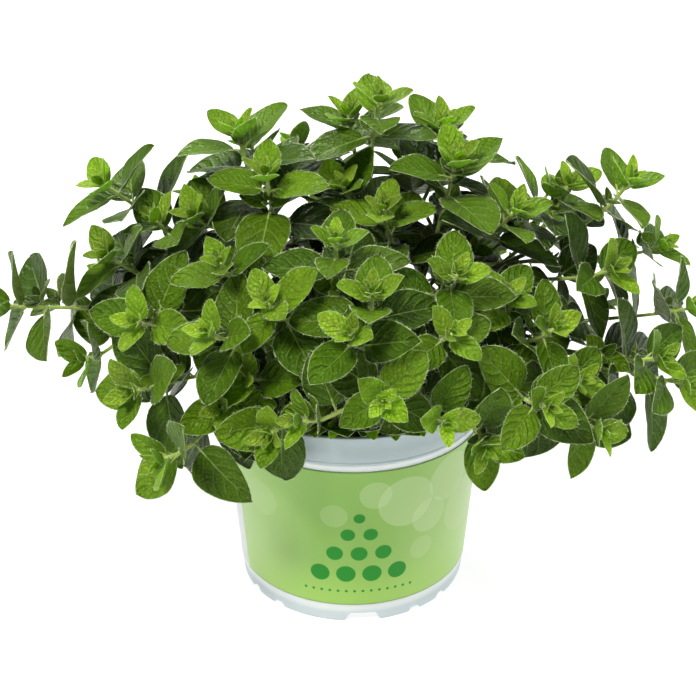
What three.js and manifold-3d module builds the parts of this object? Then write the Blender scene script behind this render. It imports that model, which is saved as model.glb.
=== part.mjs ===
// Oregano plant in its nursery pot. Millimetres, +Z up, the front of the pot faces -Y.
// The origin is at the middle of the underside of the foot ring.
import * as THREE from 'three';
import { mergeVertices } from 'three/addons/utils/BufferGeometryUtils.js';
import Module from 'manifold-3d';

const wasm = await Module();
wasm.setup();

// ---- driving dimensions ----

const gap = 0.3; // clear space between neighbours that touch on the real plant
const ownGap = 0.1; // the same between leaves of one shoot
const around = 36; // facets round the pot, its label and its soil

const pot = {
  height: 102,
  footRadius: 53.7, // outside, at the floor
  taper: 0.077, // outward per mm of height
  wall: 1.2,
  bandBase: 87, // where the plain band under the rim steps out
  bandStep: 1,
  bandRise: 0.6, // height of the slope that leads out to the band
  lip: 0.8,
  lipHeight: 1.8,
  lipRise: 0.4,
  insideRise: 1.8, // height of the same step on the inside, which starts below the band
  floorTop: 7.6,
  floorThick: 1.6,
};
// drainage notches in the foot, and the small nicks between them
const slot = { count: 4, first: -85, wide: 12, deep: 4.4, slope: 2 };
const nick = { after: [27.5, 45.5], wide: 4, deep: 2, slope: 1 }; // degrees on from a notch
const cutter = { reach: 8, outside: 3, under: 1 }; // how far a notch's wedge runs, and past the foot
const label = { bottom: 10, top: 83.5, thick: 0.4, from: -65, to: 120 }; // degrees from the front
const soil = { edge: 91.5, crown: 94, crownRadius: 34, holeDepth: 20, holeOver: 10 };

// radius to a corner of the square section at the foot and the tip, and where it is full
const stem = { root: 1.6, side: 1.36, tip: 0.8, full: 150, steps: 24, spacing: 44 };
const bend = { start: 0.38, tip: 0.36 }; // pull of a stem's two ends on its curve, in spans
const bud = { wide: 1.9, middle: 3.2, long: 7.5 }; // folded youngest leaves on the shoot tip

// One row for each pair of leaves, from the shoot tip down: distance below the tip, half height of
// its node, petiole, blade length, half width, angle from the stem, droop, turn of its face upward
const pairs = [
  { below: 2.2, node: 0.8, petiole: 1.2, blade: 14, half: 5.2, angle: 52, droop: 0, turn: 0.2 },
  { below: 7.6, node: 0.9, petiole: 2.2, blade: 21, half: 7.7, angle: 70, droop: 0.08, turn: 0.45 },
  { below: 16.5, node: 1, petiole: 3.6, blade: 26.5, half: 9.8, angle: 79, droop: 0.14, turn: 0.6 },
  { below: 30, node: 1, petiole: 4.6, blade: 29.5, half: 11, angle: 85, droop: 0.2, turn: 0.75 },
  { below: 47, node: 1, petiole: 5.6, blade: 31, half: 11.4, angle: 88, droop: 0.24, turn: 0.85 },
];
const youngPairs = 1; // leaves so small that one ring shapes them
const youngRings = [{ at: 0.36, width: 1 }];
const lightFrom = 60; // height under a leaf of the point that it turns away from
const vary = { turn: 22, lean: 18, size: 0.16, droop: 0.12 }; // whole spread of the leaves' draws
const bladeRings = [{ at: 0, width: 0.08 }, { at: 0.22, width: 0.94 }, { at: 0.62, width: 0.9 }];
const fold = 0.2; // rise of the margins over the midrib, as a share of the half width
const keel = 0.55; // depth of the midrib under the blade
const petioleHalf = 0.5;

// What a leaf may do to stay clear of its neighbours, in the order it is tried:
// degrees round the stem, degrees toward the stem tip, size
const tries = [
  [0, 0, 1], [12, 0, 1], [-12, 0, 1], [0, 14, 1], [0, -14, 1], [22, 10, 0.95], [-22, 10, 0.95],
  [20, -14, 0.9], [-20, -14, 0.9], [34, 0, 0.85], [-34, 0, 0.85], [0, 26, 0.8], [0, -26, 0.8],
  [16, 8, 0.65], [-16, -8, 0.65], [30, -18, 0.6], [-30, 18, 0.6],
];
const baseTries = 24; // places tried for the foot of a stem
const golden = 0.618034; // spreads repeated tries evenly

// feet of the stems, in mm from the pot's axis and degrees round it, and the share of a main shoot
// where its side shoots leave
const feet = { nearest: 8, spread: 38, fan: 60, turn: 37, apart: 5.5 };
const fork = { lowest: 0.3, spread: 0.3 };
const bare = { main: 26, side: 14 }; // length at the foot of a shoot that bears no leaves
const clear = { inward: 2.2, outward: 2.6, above: 0.8 }; // round the rim and over the soil
// leaves hang no lower in front of the label, in degrees, and are higher the farther out they hang
const view = { from: -14, to: 26, below: 97, rise: 0.6 };
// how wide the chosen tips spread, how far they lean back for each mm to the front, and sit lower
const spread = { wide: 0.94, lean: 0.33, down: 8 };

// Leafy stems, chosen by hand. Each row holds the shoots of one stem, its main shoot first:
// tip x, y, z, compass angle of the tip from +X, its angle over the horizon, roll, size
const stems = [
  [[-160, -20, 145, 205, 14, 70, 1.15], [-126, -20, 119, 220, 12, 60, 1.15]],
  [[-118, 20, 200, 205, 45, 75, 1.2], [-92, 5, 183, 200, 60, 10, 1.1]],
  [[-113, -10, 168, 215, 45, 70, 1.1], [-94, -50, 141, 235, 35, 10, 1.1]],
  [[-96, -60, 111, 235, 15, 25, 1.2], [-82, -80, 84, 215, 8, 60, 1.2], [-56, -72, 106, 240, 25, 40, 1.05]],
  [[-60, -70, 139, 225, 40, 20, 1.0], [-57, -45, 167, 245, 55, 40, 0.95]],
  [[-52, 5, 223, 230, 78, 85, 1.2], [-38, -20, 204, 250, 74, 10, 1.15], [-72, -8, 186, 220, 55, 50, 1.1]],
  [[-7, -55, 177, 270, 76, 85, 0.95], [-35, -70, 152, 250, 52, 45, 1.0]],
  [[12, 10, 237, 300, 72, 75, 1.15], [-2, 25, 232, 240, 72, 10, 1.15], [-4, 0, 199, 250, 65, 60, 1.1]],
  [[43, 25, 227, 300, 74, 80, 1.2], [26, 35, 212, 300, 66, 0, 1.15]],
  [[46, -10, 210, 290, 72, 0, 1.2], [14, -20, 189, 260, 66, 0, 1.05], [74, -6, 188, 320, 60, 40, 1.15]],
  [[8, -80, 157, 270, 70, 90, 1.0], [-1, -95, 142, 255, 50, 70, 1.0]],
  [[44, -60, 163, 295, 52, 60, 1.0], [41, -80, 140, 300, 45, 20, 1.0], [18, -44, 148, 280, 50, 40, 1.05]],
  [[68, -45, 152, 295, 55, 30, 1.0], [88, -50, 138, 300, 50, 85, 1.0], [92, -20, 118, 320, 20, 50, 1.1]],
  [[99, -60, 116, 310, 32, 40, 1.0], [81, -85, 109, 300, 20, 45, 1.0]],
  [[127, 0, 201, 330, 62, 35, 1.15], [147, 10, 171, 325, 35, 0, 1.05]],
  [[101, 10, 199, 310, 72, 85, 1.15], [118, -20, 162, 315, 35, 10, 1.05]],
  [[139, -40, 123, 310, 30, 20, 1.05], [150, -45, 112, 320, 12, 0, 1.1]],
  [[160, -10, 143, 325, 28, 70, 1.05], [108, -70, 95, 320, 0, 60, 1.1]],
  [[12, -105, 116, 272, 25, 45, 1.0], [-21, -95, 105, 205, 20, 20, 0.95], [38, -92, 104, 285, 15, 70, 1.05]],
  [[-46, -66, 118, 240, 30, 0, 1.1], [-34, -84, 97, 240, 5, 0, 1.15], [56, -86, 92, 280, -15, 70, 1.15]],
  [[64, -62, 118, 300, 30, 10, 1.1]],
];
// Stems at the back, spread by a rule over a mound of half axes x, y, z round a middle height, in
// degrees round the pot and over the horizon
const mound = {
  count: 5,
  shoots: 2,
  x: 140,
  y: 113,
  z: 125,
  middle: 88,
  from: 12,
  to: 168,
  start: 0.3,
  lowest: 12,
  rise: 58,
  tipLowest: 20,
  tipRise: 0.75,
};

// ---- helpers ----

const up = new THREE.Vector3(0, 0, 1);
const sun = new THREE.Vector3(0, -0.35, 1); // leaves turn toward it, and outward
const radians = THREE.MathUtils.degToRad;

// the same value between 0 and 1 for the same two whole numbers
function draw(a, b) {
  const v = Math.sin(a * 12.9898 + b * 78.233) * 43758.5453;
  return v - Math.floor(v);
}

function heading(azimuth, elevation) {
  const a = radians(azimuth);
  const e = radians(elevation);
  return new THREE.Vector3(Math.cos(a) * Math.cos(e), Math.sin(a) * Math.cos(e), Math.sin(e));
}

function square(vector, axis) {
  return vector.clone().addScaledVector(axis, -vector.dot(axis)).normalize();
}

function solidFrom(points, triangles) {
  const vertProperties = new Float32Array(points.flatMap((p) => [p.x, p.y, p.z]));
  const triVerts = Uint32Array.from(triangles);
  return new wasm.Manifold(new wasm.Mesh({ numProp: 3, vertProperties, triVerts }));
}

// closed solid of a three.js geometry, without the flat triangles at a lathe's poles
function solidOf(geometry) {
  geometry.deleteAttribute('normal');
  geometry.deleteAttribute('uv');
  const merged = mergeVertices(geometry, 1e-4);
  const position = merged.attributes.position;
  const index = merged.index.array;
  const points = [];
  for (let i = 0; i < position.count; i++) points.push(new THREE.Vector3().fromBufferAttribute(position, i));
  const triangles = [];
  for (let i = 0; i < index.length; i += 3) {
    const [a, b, c] = index.slice(i, i + 3);
    if (a !== b && b !== c && c !== a) triangles.push(a, b, c);
  }
  return solidFrom(points, triangles);
}

function turned(profile) {
  const geometry = new THREE.LatheGeometry(profile.map(([r, z]) => new THREE.Vector2(r, z)), around);
  return solidOf(geometry.rotateX(Math.PI / 2));
}

// triangles between two rings of as many points, or from a ring to one end point
function bridge(triangles, from, to, open = []) {
  for (let k = 0; k < from.length; k++) {
    const j = (k + 1) % from.length;
    if (open.includes(k)) continue;
    triangles.push(from[k], from[j], to[to.length === 1 ? 0 : j]);
    if (to.length > 1) triangles.push(from[k], to[j], to[k]);
  }
}

// triangles from the four corners at a leaf's root, upper ones first, to its first ring of three
function bridgeToThree(triangles, [a, b, c, d], [right, low, left]) {
  triangles.push(a, b, right, a, right, left, b, c, low, b, low, right, c, d, low, d, a, left, d, left, low);
}

// adds the points of a ring and gives their places in the list
function addRing(points, ring) {
  points.push(...ring);
  return ring.map((_, k) => points.length - ring.length + k);
}

// closes the first ring from below, and the last one from above where it isn't a point
function closeEnds(triangles, first, last) {
  for (let k = 1; k + 1 < first.length; k++) triangles.push(first[0], first[k + 1], first[k]);
  for (let k = 1; k + 1 < last.length; k++) triangles.push(last[0], last[k], last[k + 1]);
}

function loft(sections) {
  const points = [];
  const triangles = [];
  const rings = sections.map((section) => addRing(points, section));
  for (let i = 0; i + 1 < rings.length; i++) bridge(triangles, rings[i], rings[i + 1]);
  closeEnds(triangles, rings[0], rings.at(-1));
  return { points, triangles, box: new THREE.Box3().setFromPoints(points) };
}

function meshOf(name, solid, material) {
  const mesh = solid.getMesh();
  const geometry = new THREE.BufferGeometry();
  geometry.setAttribute('position', new THREE.BufferAttribute(mesh.vertProperties, 3));
  geometry.setIndex(new THREE.BufferAttribute(mesh.triVerts, 1));
  geometry.computeVertexNormals();
  const result = new THREE.Mesh(geometry, material);
  result.name = name;
  return result;
}

// ---- pot, label and soil ----

const wallRadius = (z) => pot.footRadius + pot.taper * z;

const ledge = pot.bandBase - 0.4; // foot of the step inside the wall, as high as the soil's straight side

// wedge that cuts through the foot ring from below, narrower at its top
function footCut(azimuth, { wide, deep, slope }) {
  const across = new THREE.Shape();
  across.moveTo(-wide / 2 - slope, -cutter.under);
  across.lineTo(wide / 2 + slope, -cutter.under);
  across.lineTo(wide / 2, deep);
  across.lineTo(-wide / 2, deep);
  const geometry = new THREE.ExtrudeGeometry(across, { depth: cutter.reach, bevelEnabled: false });
  geometry.rotateX(Math.PI / 2);
  geometry.translate(0, -pot.footRadius + cutter.reach - cutter.outside, 0);
  geometry.rotateZ(radians(azimuth + 90));
  return solidOf(geometry);
}

function makePot() {
  const inside = (z) => wallRadius(z) - pot.wall;
  const bandTop = pot.height - pot.lipHeight;
  const band = (z) => wallRadius(z) + pot.bandStep;
  const floorBottom = pot.floorTop - pot.floorThick;
  let solid = turned([
    [0, floorBottom],
    [inside(floorBottom), floorBottom],
    [inside(0), 0],
    [wallRadius(0), 0],
    [wallRadius(pot.bandBase), pot.bandBase],
    [band(pot.bandBase), pot.bandBase + pot.bandRise],
    [band(bandTop), bandTop],
    [band(bandTop) + pot.lip, bandTop + pot.lipRise],
    [band(pot.height) + pot.lip, pot.height],
    [band(pot.height) - pot.wall, pot.height],
    [band(pot.bandBase) - pot.wall, ledge + pot.insideRise],
    [inside(pot.bandBase), ledge],
    [inside(pot.floorTop), pot.floorTop],
    [0, pot.floorTop],
  ]);
  for (let i = 0; i < slot.count; i++) {
    const azimuth = slot.first + (i * 360) / slot.count;
    solid = solid.subtract(footCut(azimuth, slot));
    for (const turn of nick.after) solid = solid.subtract(footCut(azimuth + turn, nick));
  }
  return solid;
}

function makeLabel() {
  const step = 360 / around; // as the wall's facets, which its first edge lies between
  const turns = [label.from];
  for (let a = Math.ceil(label.from / step) * step; a <= label.to; a += step) turns.push(a);
  const sections = [];
  for (const a of turns) {
    const out = heading(a - 90, 0);
    const low = wallRadius(label.bottom) + gap;
    const high = wallRadius(label.top) + gap;
    sections.push([
      out.clone().multiplyScalar(low).setZ(label.bottom),
      out.clone().multiplyScalar(high).setZ(label.top),
      out.clone().multiplyScalar(high + label.thick).setZ(label.top),
      out.clone().multiplyScalar(low + label.thick).setZ(label.bottom),
    ]);
  }
  const skin = loft(sections);
  return solidFrom(skin.points, skin.triangles);
}

function makeSoil(mainShoots) {
  const inside = (z) => wallRadius(z) - pot.wall - gap;
  const bottom = pot.floorTop + gap;
  let solid = turned([
    [0, bottom],
    [inside(bottom), bottom],
    [inside(ledge), ledge],
    [inside(ledge), soil.edge],
    [soil.crownRadius, soil.crown],
    [0, soil.crown],
  ]);
  for (const { foot, stations } of mainShoots) {
    const wide = Math.SQRT2 * stem.root + 2 * gap;
    const tall = soil.holeDepth + gap + soil.holeOver;
    const hole = new THREE.BoxGeometry(wide, wide, tall);
    const { x, y } = stations.at(-1).side;
    hole.rotateZ(Math.atan2(y, x));
    hole.translate(foot.x, foot.y, soil.crown - soil.holeDepth - gap + tall / 2);
    solid = solid.subtract(solidOf(hole));
  }
  return solid;
}

// ---- stems and leaves ----

// path of a shoot: points at even steps of the curve's own parameter, from its foot to its tip
function pathOf(start, startWay, tip, tipWay) {
  const span = start.distanceTo(tip);
  const curve = new THREE.CubicBezierCurve3(
    start,
    start.clone().addScaledVector(startWay, span * bend.start),
    tip.clone().addScaledVector(tipWay, -span * bend.tip),
    tip,
  );
  return curve.getPoints(stem.steps);
}

// point and direction of a path at a distance below its tip
function below(path, distance) {
  let left = distance;
  for (let i = path.length - 1; i > 0; i--) {
    const way = path[i].clone().sub(path[i - 1]);
    const length = way.length();
    if (left <= length || i === 1) {
      way.normalize();
      return { point: path[i].clone().addScaledVector(way, -left), way };
    }
    left -= length;
  }
  return null;
}

function lengthOf(path) {
  let sum = 0;
  for (let i = 1; i < path.length; i++) sum += path[i].distanceTo(path[i - 1]);
  return sum;
}

// stations of a shoot from its tip down: two for each pair of leaves, then a few plain ones
function stationsOf(shoot) {
  const marks = shoot.pairs.flatMap((pair) => [pair.below - pair.node, pair.below + pair.node]);
  const last = marks.at(-1);
  const rest = Math.max(2, Math.round((shoot.length - last) / stem.spacing));
  for (let i = 1; i <= rest; i++) marks.push(last + ((shoot.length - last) * i) / rest);
  let side = null;
  return marks.map((distance) => {
    const { point, way } = below(shoot.path, distance);
    if (!side) {
      const upward = square(up, way);
      const roll = radians(shoot.roll);
      side = upward.clone().multiplyScalar(Math.cos(roll));
      side.addScaledVector(way.clone().cross(upward), Math.sin(roll));
    }
    side = square(side, way);
    const radius = THREE.MathUtils.lerp(stem.tip, shoot.thick, Math.min(1, distance / stem.full));
    return { point, way, side, other: way.clone().cross(side), radius };
  });
}

// the corners of the square section at a station; side and other point out of its faces 0 and 1
function cornersOf({ point, side, other, radius }) {
  const half = radius * Math.SQRT1_2;
  return [[1, -1], [1, 1], [-1, 1], [-1, -1]].map(
    ([a, b]) => point.clone().addScaledVector(side, a * half).addScaledVector(other, b * half),
  );
}

// all sections of a shoot, from its foot up to its pointed bud
function sectionsOf(shoot) {
  const sections = shoot.stations.map(cornersOf).reverse();
  if (shoot.main) sections.unshift(sections[0].map((p) => p.clone().setZ(soil.crown - soil.holeDepth)));
  const { point, way, side, other } = shoot.stations[0];
  const middle = point.clone().addScaledVector(way, bud.middle);
  sections.push(cornersOf({ point: middle, side, other, radius: bud.wide * shoot.size }));
  sections.push([point.clone().addScaledVector(way, bud.long)]);
  return sections;
}

// rings of a leaf from its petiole's end, or its middle if young, out to its tip;
// grow widens it on all sides for the test of clear space
function leafRings(leaf, grow = 0) {
  const { root, way, face, pair, size } = leaf;
  const across = way.clone().cross(face);
  const blade = pair.blade * size;
  const half = pair.half * size;
  const at = (share, aside, lift) => {
    const sag = -leaf.droop * blade * share * share;
    const point = root.clone().addScaledVector(way, pair.petiole * size + blade * share);
    return point.addScaledVector(across, aside).addScaledVector(face, sag + lift);
  };
  const rings = (leaf.young ? youngRings : bladeRings).map((ring) => {
    const w = half * ring.width + grow;
    const rise = fold * half * ring.width + keel / 2 + grow;
    return [at(ring.at, w, rise), at(ring.at, 0, -keel / 2 - grow), at(ring.at, -w, rise)];
  });
  rings.push([at(1 + grow / blade, 0, 0)]);
  return rings;
}

// closed skin of a leaf by itself, with its petiole
function leafSkin(leaf, grow) {
  const across = leaf.way.clone().cross(leaf.face);
  const wide = petioleHalf + grow;
  const sides = [[across, wide], [leaf.face, -wide], [across, -wide]];
  const from = sides.map(([axis, by]) => leaf.root.clone().addScaledVector(axis, by));
  return loft([from, ...leafRings(leaf, grow)]);
}

// a leaf of a pair, bent as one of the tries says
function placeLeaf(shoot, pairIndex, hand, attempt) {
  const pair = shoot.pairs[pairIndex];
  const [turnBy, liftBy, scale] = tries[attempt];
  const seed = shoot.seed * 40 + pairIndex * 4 + hand;
  const station = shoot.stations[pairIndex * 2];
  const { point, way: axis } = below(shoot.path, pair.below);
  const outAt = (degrees) => {
    const out = station.side.clone().multiplyScalar(Math.cos(radians(degrees)));
    return out.addScaledVector(station.other, Math.sin(radians(degrees)));
  };
  const turn = (pairIndex % 2) * 90 + hand * 180;
  const root = point.clone().addScaledVector(outAt(turn), station.radius * Math.SQRT1_2);
  const out = outAt(turn + (draw(seed, 1) - 0.5) * vary.turn + turnBy);
  const lean = radians(pair.angle + (draw(seed, 2) - 0.5) * vary.lean - liftBy);
  const way = axis.clone().multiplyScalar(Math.cos(lean)).addScaledVector(out, Math.sin(lean));
  const face = axis.clone().multiplyScalar(Math.sin(lean)).addScaledVector(out, -Math.cos(lean));
  const light = root.clone().setZ(root.z - lightFrom).normalize().add(sun);
  face.addScaledVector(light, pair.turn);
  const size = shoot.size * scale * (1 + vary.size * (draw(seed, 3) - 0.5));
  const droop = pair.droop + vary.droop * (draw(seed, 4) - 0.5);
  const young = pairIndex < youngPairs;
  return { root, way: way.normalize(), face: square(face, way), pair, pairIndex, hand, size, droop, young };
}

// closed solid of a shoot, its leaves grown out of the faces of its square stem
function shootSolid(shoot) {
  const points = [];
  const triangles = [];
  const rings = sectionsOf(shoot).map((section) => addRing(points, section));
  const nodeOf = (leaf) => rings.length - 4 - leaf.pairIndex * 2; // the section under the node
  const faceOf = (leaf) => (leaf.pairIndex % 2) + leaf.hand * 2;
  for (let i = 0; i + 1 < rings.length; i++) {
    const open = shoot.leaves.filter((leaf) => nodeOf(leaf) === i).map(faceOf);
    bridge(triangles, rings[i], rings[i + 1], open);
  }
  closeEnds(triangles, rings[0], rings.at(-1));
  for (const leaf of shoot.leaves) {
    const lower = rings[nodeOf(leaf)];
    const upper = rings[nodeOf(leaf) + 1];
    const k = faceOf(leaf);
    const j = (k + 1) % 4;
    const hole = [lower[k], lower[j], upper[j], upper[k]];
    const across = leaf.way.clone().cross(leaf.face);
    const rank = hole.map((i) => points[i].clone().sub(leaf.root).dot(leaf.face.clone().sub(across)));
    const first = rank.indexOf(Math.max(...rank));
    const leafRows = leafRings(leaf).map((ring) => addRing(points, ring));
    bridgeToThree(triangles, hole.map((_, i) => hole[(first + i) % 4]), leafRows[0]);
    for (let i = 0; i + 1 < leafRows.length; i++) bridge(triangles, leafRows[i], leafRows[i + 1]);
  }
  return solidFrom(points, triangles);
}

// ---- clear space between solids ----

const edgeA = new THREE.Vector3();
const cut = new THREE.Vector3();
const edgeSteps = 8; // points looked at along an edge that may pass the rim
const ray = new THREE.Ray();

function edgesCut(one, other) {
  for (let i = 0; i < one.triangles.length; i += 3) {
    for (let k = 0; k < 3; k++) {
      const a = one.triangles[i + k];
      const b = one.triangles[i + ((k + 1) % 3)];
      if (a > b) continue;
      const from = one.points[a];
      edgeA.subVectors(one.points[b], from);
      const length = edgeA.length();
      ray.set(from, edgeA.normalize());
      for (let j = 0; j < other.triangles.length; j += 3) {
        const [p, q, r] = [0, 1, 2].map((m) => other.points[other.triangles[j + m]]);
        if (ray.intersectTriangle(p, q, r, false, cut) && cut.distanceTo(from) <= length) return true;
      }
    }
  }
  return false;
}

function meets(one, other) {
  return one.box.intersectsBox(other.box) && (edgesCut(one, other) || edgesCut(other, one));
}

// whether any edge of a skin passes through the rim, or for a leaf through the soil
function inPot(skin, leaf) {
  const p = new THREE.Vector3();
  for (let i = 0; i < skin.triangles.length; i += 3) {
    for (let k = 0; k < 3; k++) {
      const a = skin.points[skin.triangles[i + k]];
      const b = skin.points[skin.triangles[i + ((k + 1) % 3)]];
      for (let n = 0; n < edgeSteps; n++) {
        p.lerpVectors(a, b, n / edgeSteps);
        const r = Math.hypot(p.x, p.y);
        const pastWall = r > wallRadius(pot.bandBase) - clear.inward;
        const overRim = pastWall && r < wallRadius(pot.height) + clear.outward;
        if (overRim && p.z < pot.height + clear.above) return true;
        if (leaf && r < wallRadius(pot.bandBase) && p.z < soil.crown + clear.above) return true;
      }
    }
  }
  return false;
}

// whether a leaf hangs in front of the label
function hidesLabel(skin) {
  return skin.points.some(({ x, y, z }) => {
    const degrees = THREE.MathUtils.radToDeg(Math.atan2(x, -y));
    const lowest = view.below + view.rise * Math.max(0, -y - pot.footRadius);
    return z < lowest && degrees > view.from && degrees < view.to;
  });
}

// ---- the plant ----

// every shoot as its tip, its direction and its place in a stem
function shootRows() {
  const rows = stems.map((stemRow) => stemRow.map(([x, y, z, azimuth, elevation, roll, size]) => ({
    tip: new THREE.Vector3(x * spread.wide, y, z - spread.down - spread.lean * y),
    azimuth,
    elevation,
    roll,
    size,
  })));
  for (let i = 0; i < mound.count; i++) {
    const row = [];
    for (let k = 0; k < mound.shoots; k++) {
      const n = i * mound.shoots + k;
      const azimuth = mound.from + (mound.to - mound.from) * ((n * golden + mound.start) % 1);
      const elevation = mound.lowest + mound.rise * ((n + 0.5) / (mound.count * mound.shoots));
      const out = heading(azimuth, elevation);
      const tip = new THREE.Vector3(out.x * mound.x, out.y * mound.y, mound.middle + out.z * mound.z);
      const upright = mound.tipLowest + mound.tipRise * elevation;
      row.push({ tip, azimuth, elevation: upright, roll: 90 * draw(n, 7), size: 1 });
    }
    rows.push(row);
  }
  return rows;
}

function pairsFor(length, cover) {
  return pairs.filter((pair) => pair.below < length - cover);
}

function mainShoot(row, seed, attempt) {
  const away = feet.nearest + feet.spread * ((draw(seed, 11) + attempt * golden) % 1);
  const bearing = radians(row.azimuthOut + (draw(seed, 12) - 0.5) * feet.fan + attempt * feet.turn);
  const foot = new THREE.Vector3(Math.cos(bearing) * away, Math.sin(bearing) * away, soil.crown);
  const path = pathOf(foot, up, row.tip, heading(row.azimuth, row.elevation));
  return { ...row, seed, main: true, thick: stem.root, foot, path };
}

function sideShoot(row, seed, parent, attempt) {
  const share = fork.lowest + fork.spread * ((draw(seed, 13) + attempt * golden) % 1);
  const { point, way } = below(parent.path, parent.length * (1 - share));
  const toward = row.tip.clone().sub(point).normalize();
  const leaving = way.clone().add(toward).normalize();
  const path = pathOf(point, leaving, row.tip, heading(row.azimuth, row.elevation));
  return { ...row, seed, main: false, thick: stem.side, path };
}

function finish(shoot) {
  shoot.length = lengthOf(shoot.path);
  shoot.pairs = pairsFor(shoot.length, shoot.main ? bare.main : bare.side);
  shoot.stations = stationsOf(shoot);
  shoot.skin = loft(sectionsOf(shoot));
  return shoot;
}

function growStems(rows) {
  const groups = rows.map(() => []);
  const placed = [];
  const depth = Math.max(...rows.map((row) => row.length));
  for (let level = 0; level < depth; level++) {
    rows.forEach((row, i) => {
      if (!row[level]) return;
      const data = row[level];
      data.azimuthOut = THREE.MathUtils.radToDeg(Math.atan2(data.tip.y, data.tip.x));
      const seed = i * 4 + level;
      let best = null;
      for (let attempt = 0; attempt < baseTries; attempt++) {
        const parent = groups[i][0];
        const shoot = finish(level ? sideShoot(data, seed, parent, attempt) : mainShoot(data, seed, attempt));
        const crossed = placed.filter((other) => other.group !== i && meets(other.skin, shoot.skin));
        const near = placed.filter((other) => !level && other.foot?.distanceTo(shoot.foot) < feet.apart);
        const faults = crossed.length + near.length + (inPot(shoot.skin, false) ? 1 : 0);
        if (!best || faults < best.faults) best = { faults, shoot };
        if (best.faults === 0) break;
      }
      best.shoot.group = i;
      groups[i].push(best.shoot);
      placed.push(best.shoot);
    });
  }
  return groups;
}

// whether a leaf is clear of the pot, of its own stem and of all that is placed already
function isClear(leaf, shoot, taken) {
  const wide = leafSkin(leaf, gap);
  if (inPot(wide, true) || hidesLabel(wide) || meets(shoot.skin, loft(leafRings(leaf)))) return false;
  const close = leafSkin(leaf, ownGap);
  return taken.every((other) => {
    if (other.shoot !== shoot) return !meets(other.skin, wide);
    if (!other.leaf || other.leaf.pairIndex === leaf.pairIndex) return true;
    return !meets(leafSkin(other.leaf, ownGap), close);
  });
}

function growLeaves(groups) {
  const shoots = groups.flat();
  const taken = shoots.map((shoot) => ({ skin: shoot.skin, shoot }));
  shoots.forEach((shoot) => { shoot.leaves = []; });
  for (let level = 0; level < pairs.length; level++) {
    for (const shoot of shoots) {
      if (!shoot.pairs[level]) continue;
      for (let hand = 0; hand < 2; hand++) {
        const choices = tries.map((_, attempt) => placeLeaf(shoot, level, hand, attempt));
        const leaf = choices.find((choice) => isClear(choice, shoot, taken));
        if (!leaf) continue;
        shoot.leaves.push(leaf);
        taken.push({ skin: leafSkin(leaf, gap), shoot, leaf });
      }
    }
  }
}

// ---- assembly ----

const materials = {
  pot: new THREE.MeshStandardMaterial({ color: 0xf2f5f7, roughness: 0.4, metalness: 0 }),
  label: new THREE.MeshStandardMaterial({ color: 0xa3cb6f, roughness: 0.45, metalness: 0 }),
  soil: new THREE.MeshStandardMaterial({ color: 0x2e231b, roughness: 0.95, metalness: 0 }),
  leaf: new THREE.MeshStandardMaterial({ color: 0x4d7a1e, roughness: 0.6, metalness: 0 }),
};

const group = new THREE.Group();
const groups = growStems(shootRows());
growLeaves(groups);
group.add(meshOf('pot', makePot(), materials.pot));
group.add(meshOf('label', makeLabel(), materials.label));
group.add(meshOf('soil', makeSoil(groups.map((shoots) => shoots[0])), materials.soil));
groups.forEach((shoots, i) => {
  const solid = shoots.map(shootSolid).reduce((whole, next) => whole.add(next));
  group.add(meshOf(`leafy_stem_${String(i + 1).padStart(2, '0')}`, solid, materials.leaf));
});

export default group;
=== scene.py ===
from functools import partial
from itertools import islice, product
from math import atan2, cos, exp, floor, hypot, pi, radians, sin, sqrt

import bpy
import numpy as np
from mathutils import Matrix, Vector
from mathutils.kdtree import KDTree


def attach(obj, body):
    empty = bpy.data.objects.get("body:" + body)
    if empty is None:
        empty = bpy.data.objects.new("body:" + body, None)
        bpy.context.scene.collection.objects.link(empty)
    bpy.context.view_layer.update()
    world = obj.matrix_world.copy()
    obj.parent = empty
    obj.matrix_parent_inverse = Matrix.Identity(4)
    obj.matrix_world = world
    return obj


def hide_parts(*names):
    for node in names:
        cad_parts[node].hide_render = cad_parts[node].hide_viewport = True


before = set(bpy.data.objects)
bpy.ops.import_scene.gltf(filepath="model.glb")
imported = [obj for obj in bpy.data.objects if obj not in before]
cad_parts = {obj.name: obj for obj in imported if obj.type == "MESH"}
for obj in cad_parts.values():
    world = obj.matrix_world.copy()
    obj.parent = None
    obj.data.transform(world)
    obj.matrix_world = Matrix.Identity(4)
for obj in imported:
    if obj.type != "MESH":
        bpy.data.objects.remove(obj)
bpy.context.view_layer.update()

mm = 0.001  # everything below is worked out in millimetres and scaled at the end


# ---- small helpers ----

def hexToLinear(code):
    parts = [int(code[i:i + 2], 16) / 255 for i in (1, 3, 5)]
    return tuple(c / 12.92 if c <= 0.04045 else ((c + 0.055) / 1.055) ** 2.4 for c in parts) + (1.0,)


# named settings and then the inputs in order; a hex code is a colour, and a node or socket is linked
def addNode(tree, kind, settings=None, *values):
    node = tree.nodes.new("ShaderNode" + kind)
    for name, value in [*(settings or {}).items(), *enumerate(values)]:
        if str(value).startswith("#"):
            value = hexToLinear(value)
        if hasattr(value, "outputs"):
            value = next(socket for socket in value.outputs if socket.enabled)
        if isinstance(value, bpy.types.NodeSocket):
            tree.links.new(value, node.inputs[name])
        elif isinstance(name, int) or name in node.inputs:
            node.inputs[name].default_value = value
        else:
            setattr(node, name, value)
    return node


def setStops(ramp, stops):
    elements = ramp.color_ramp.elements
    while len(elements) < len(stops):
        elements.new(0.5)
    for element, (spot, colour) in zip(elements, stops):
        element.position = spot
        element.color = hexToLinear(colour)


# what a shader takes from a look as it is
lookSockets = {
    "roughness": "Roughness", "specular": "Specular IOR Level", "ior": "IOR", "sheen": "Sheen Weight",
    "coat": "Coat Weight", "coatRough": "Coat Roughness",
    "scatter": "Subsurface Weight", "reach": "Subsurface Radius",
}


def finishOf(look):
    return {lookSockets[name]: value for name, value in look.items() if name in lookSockets}


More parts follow.
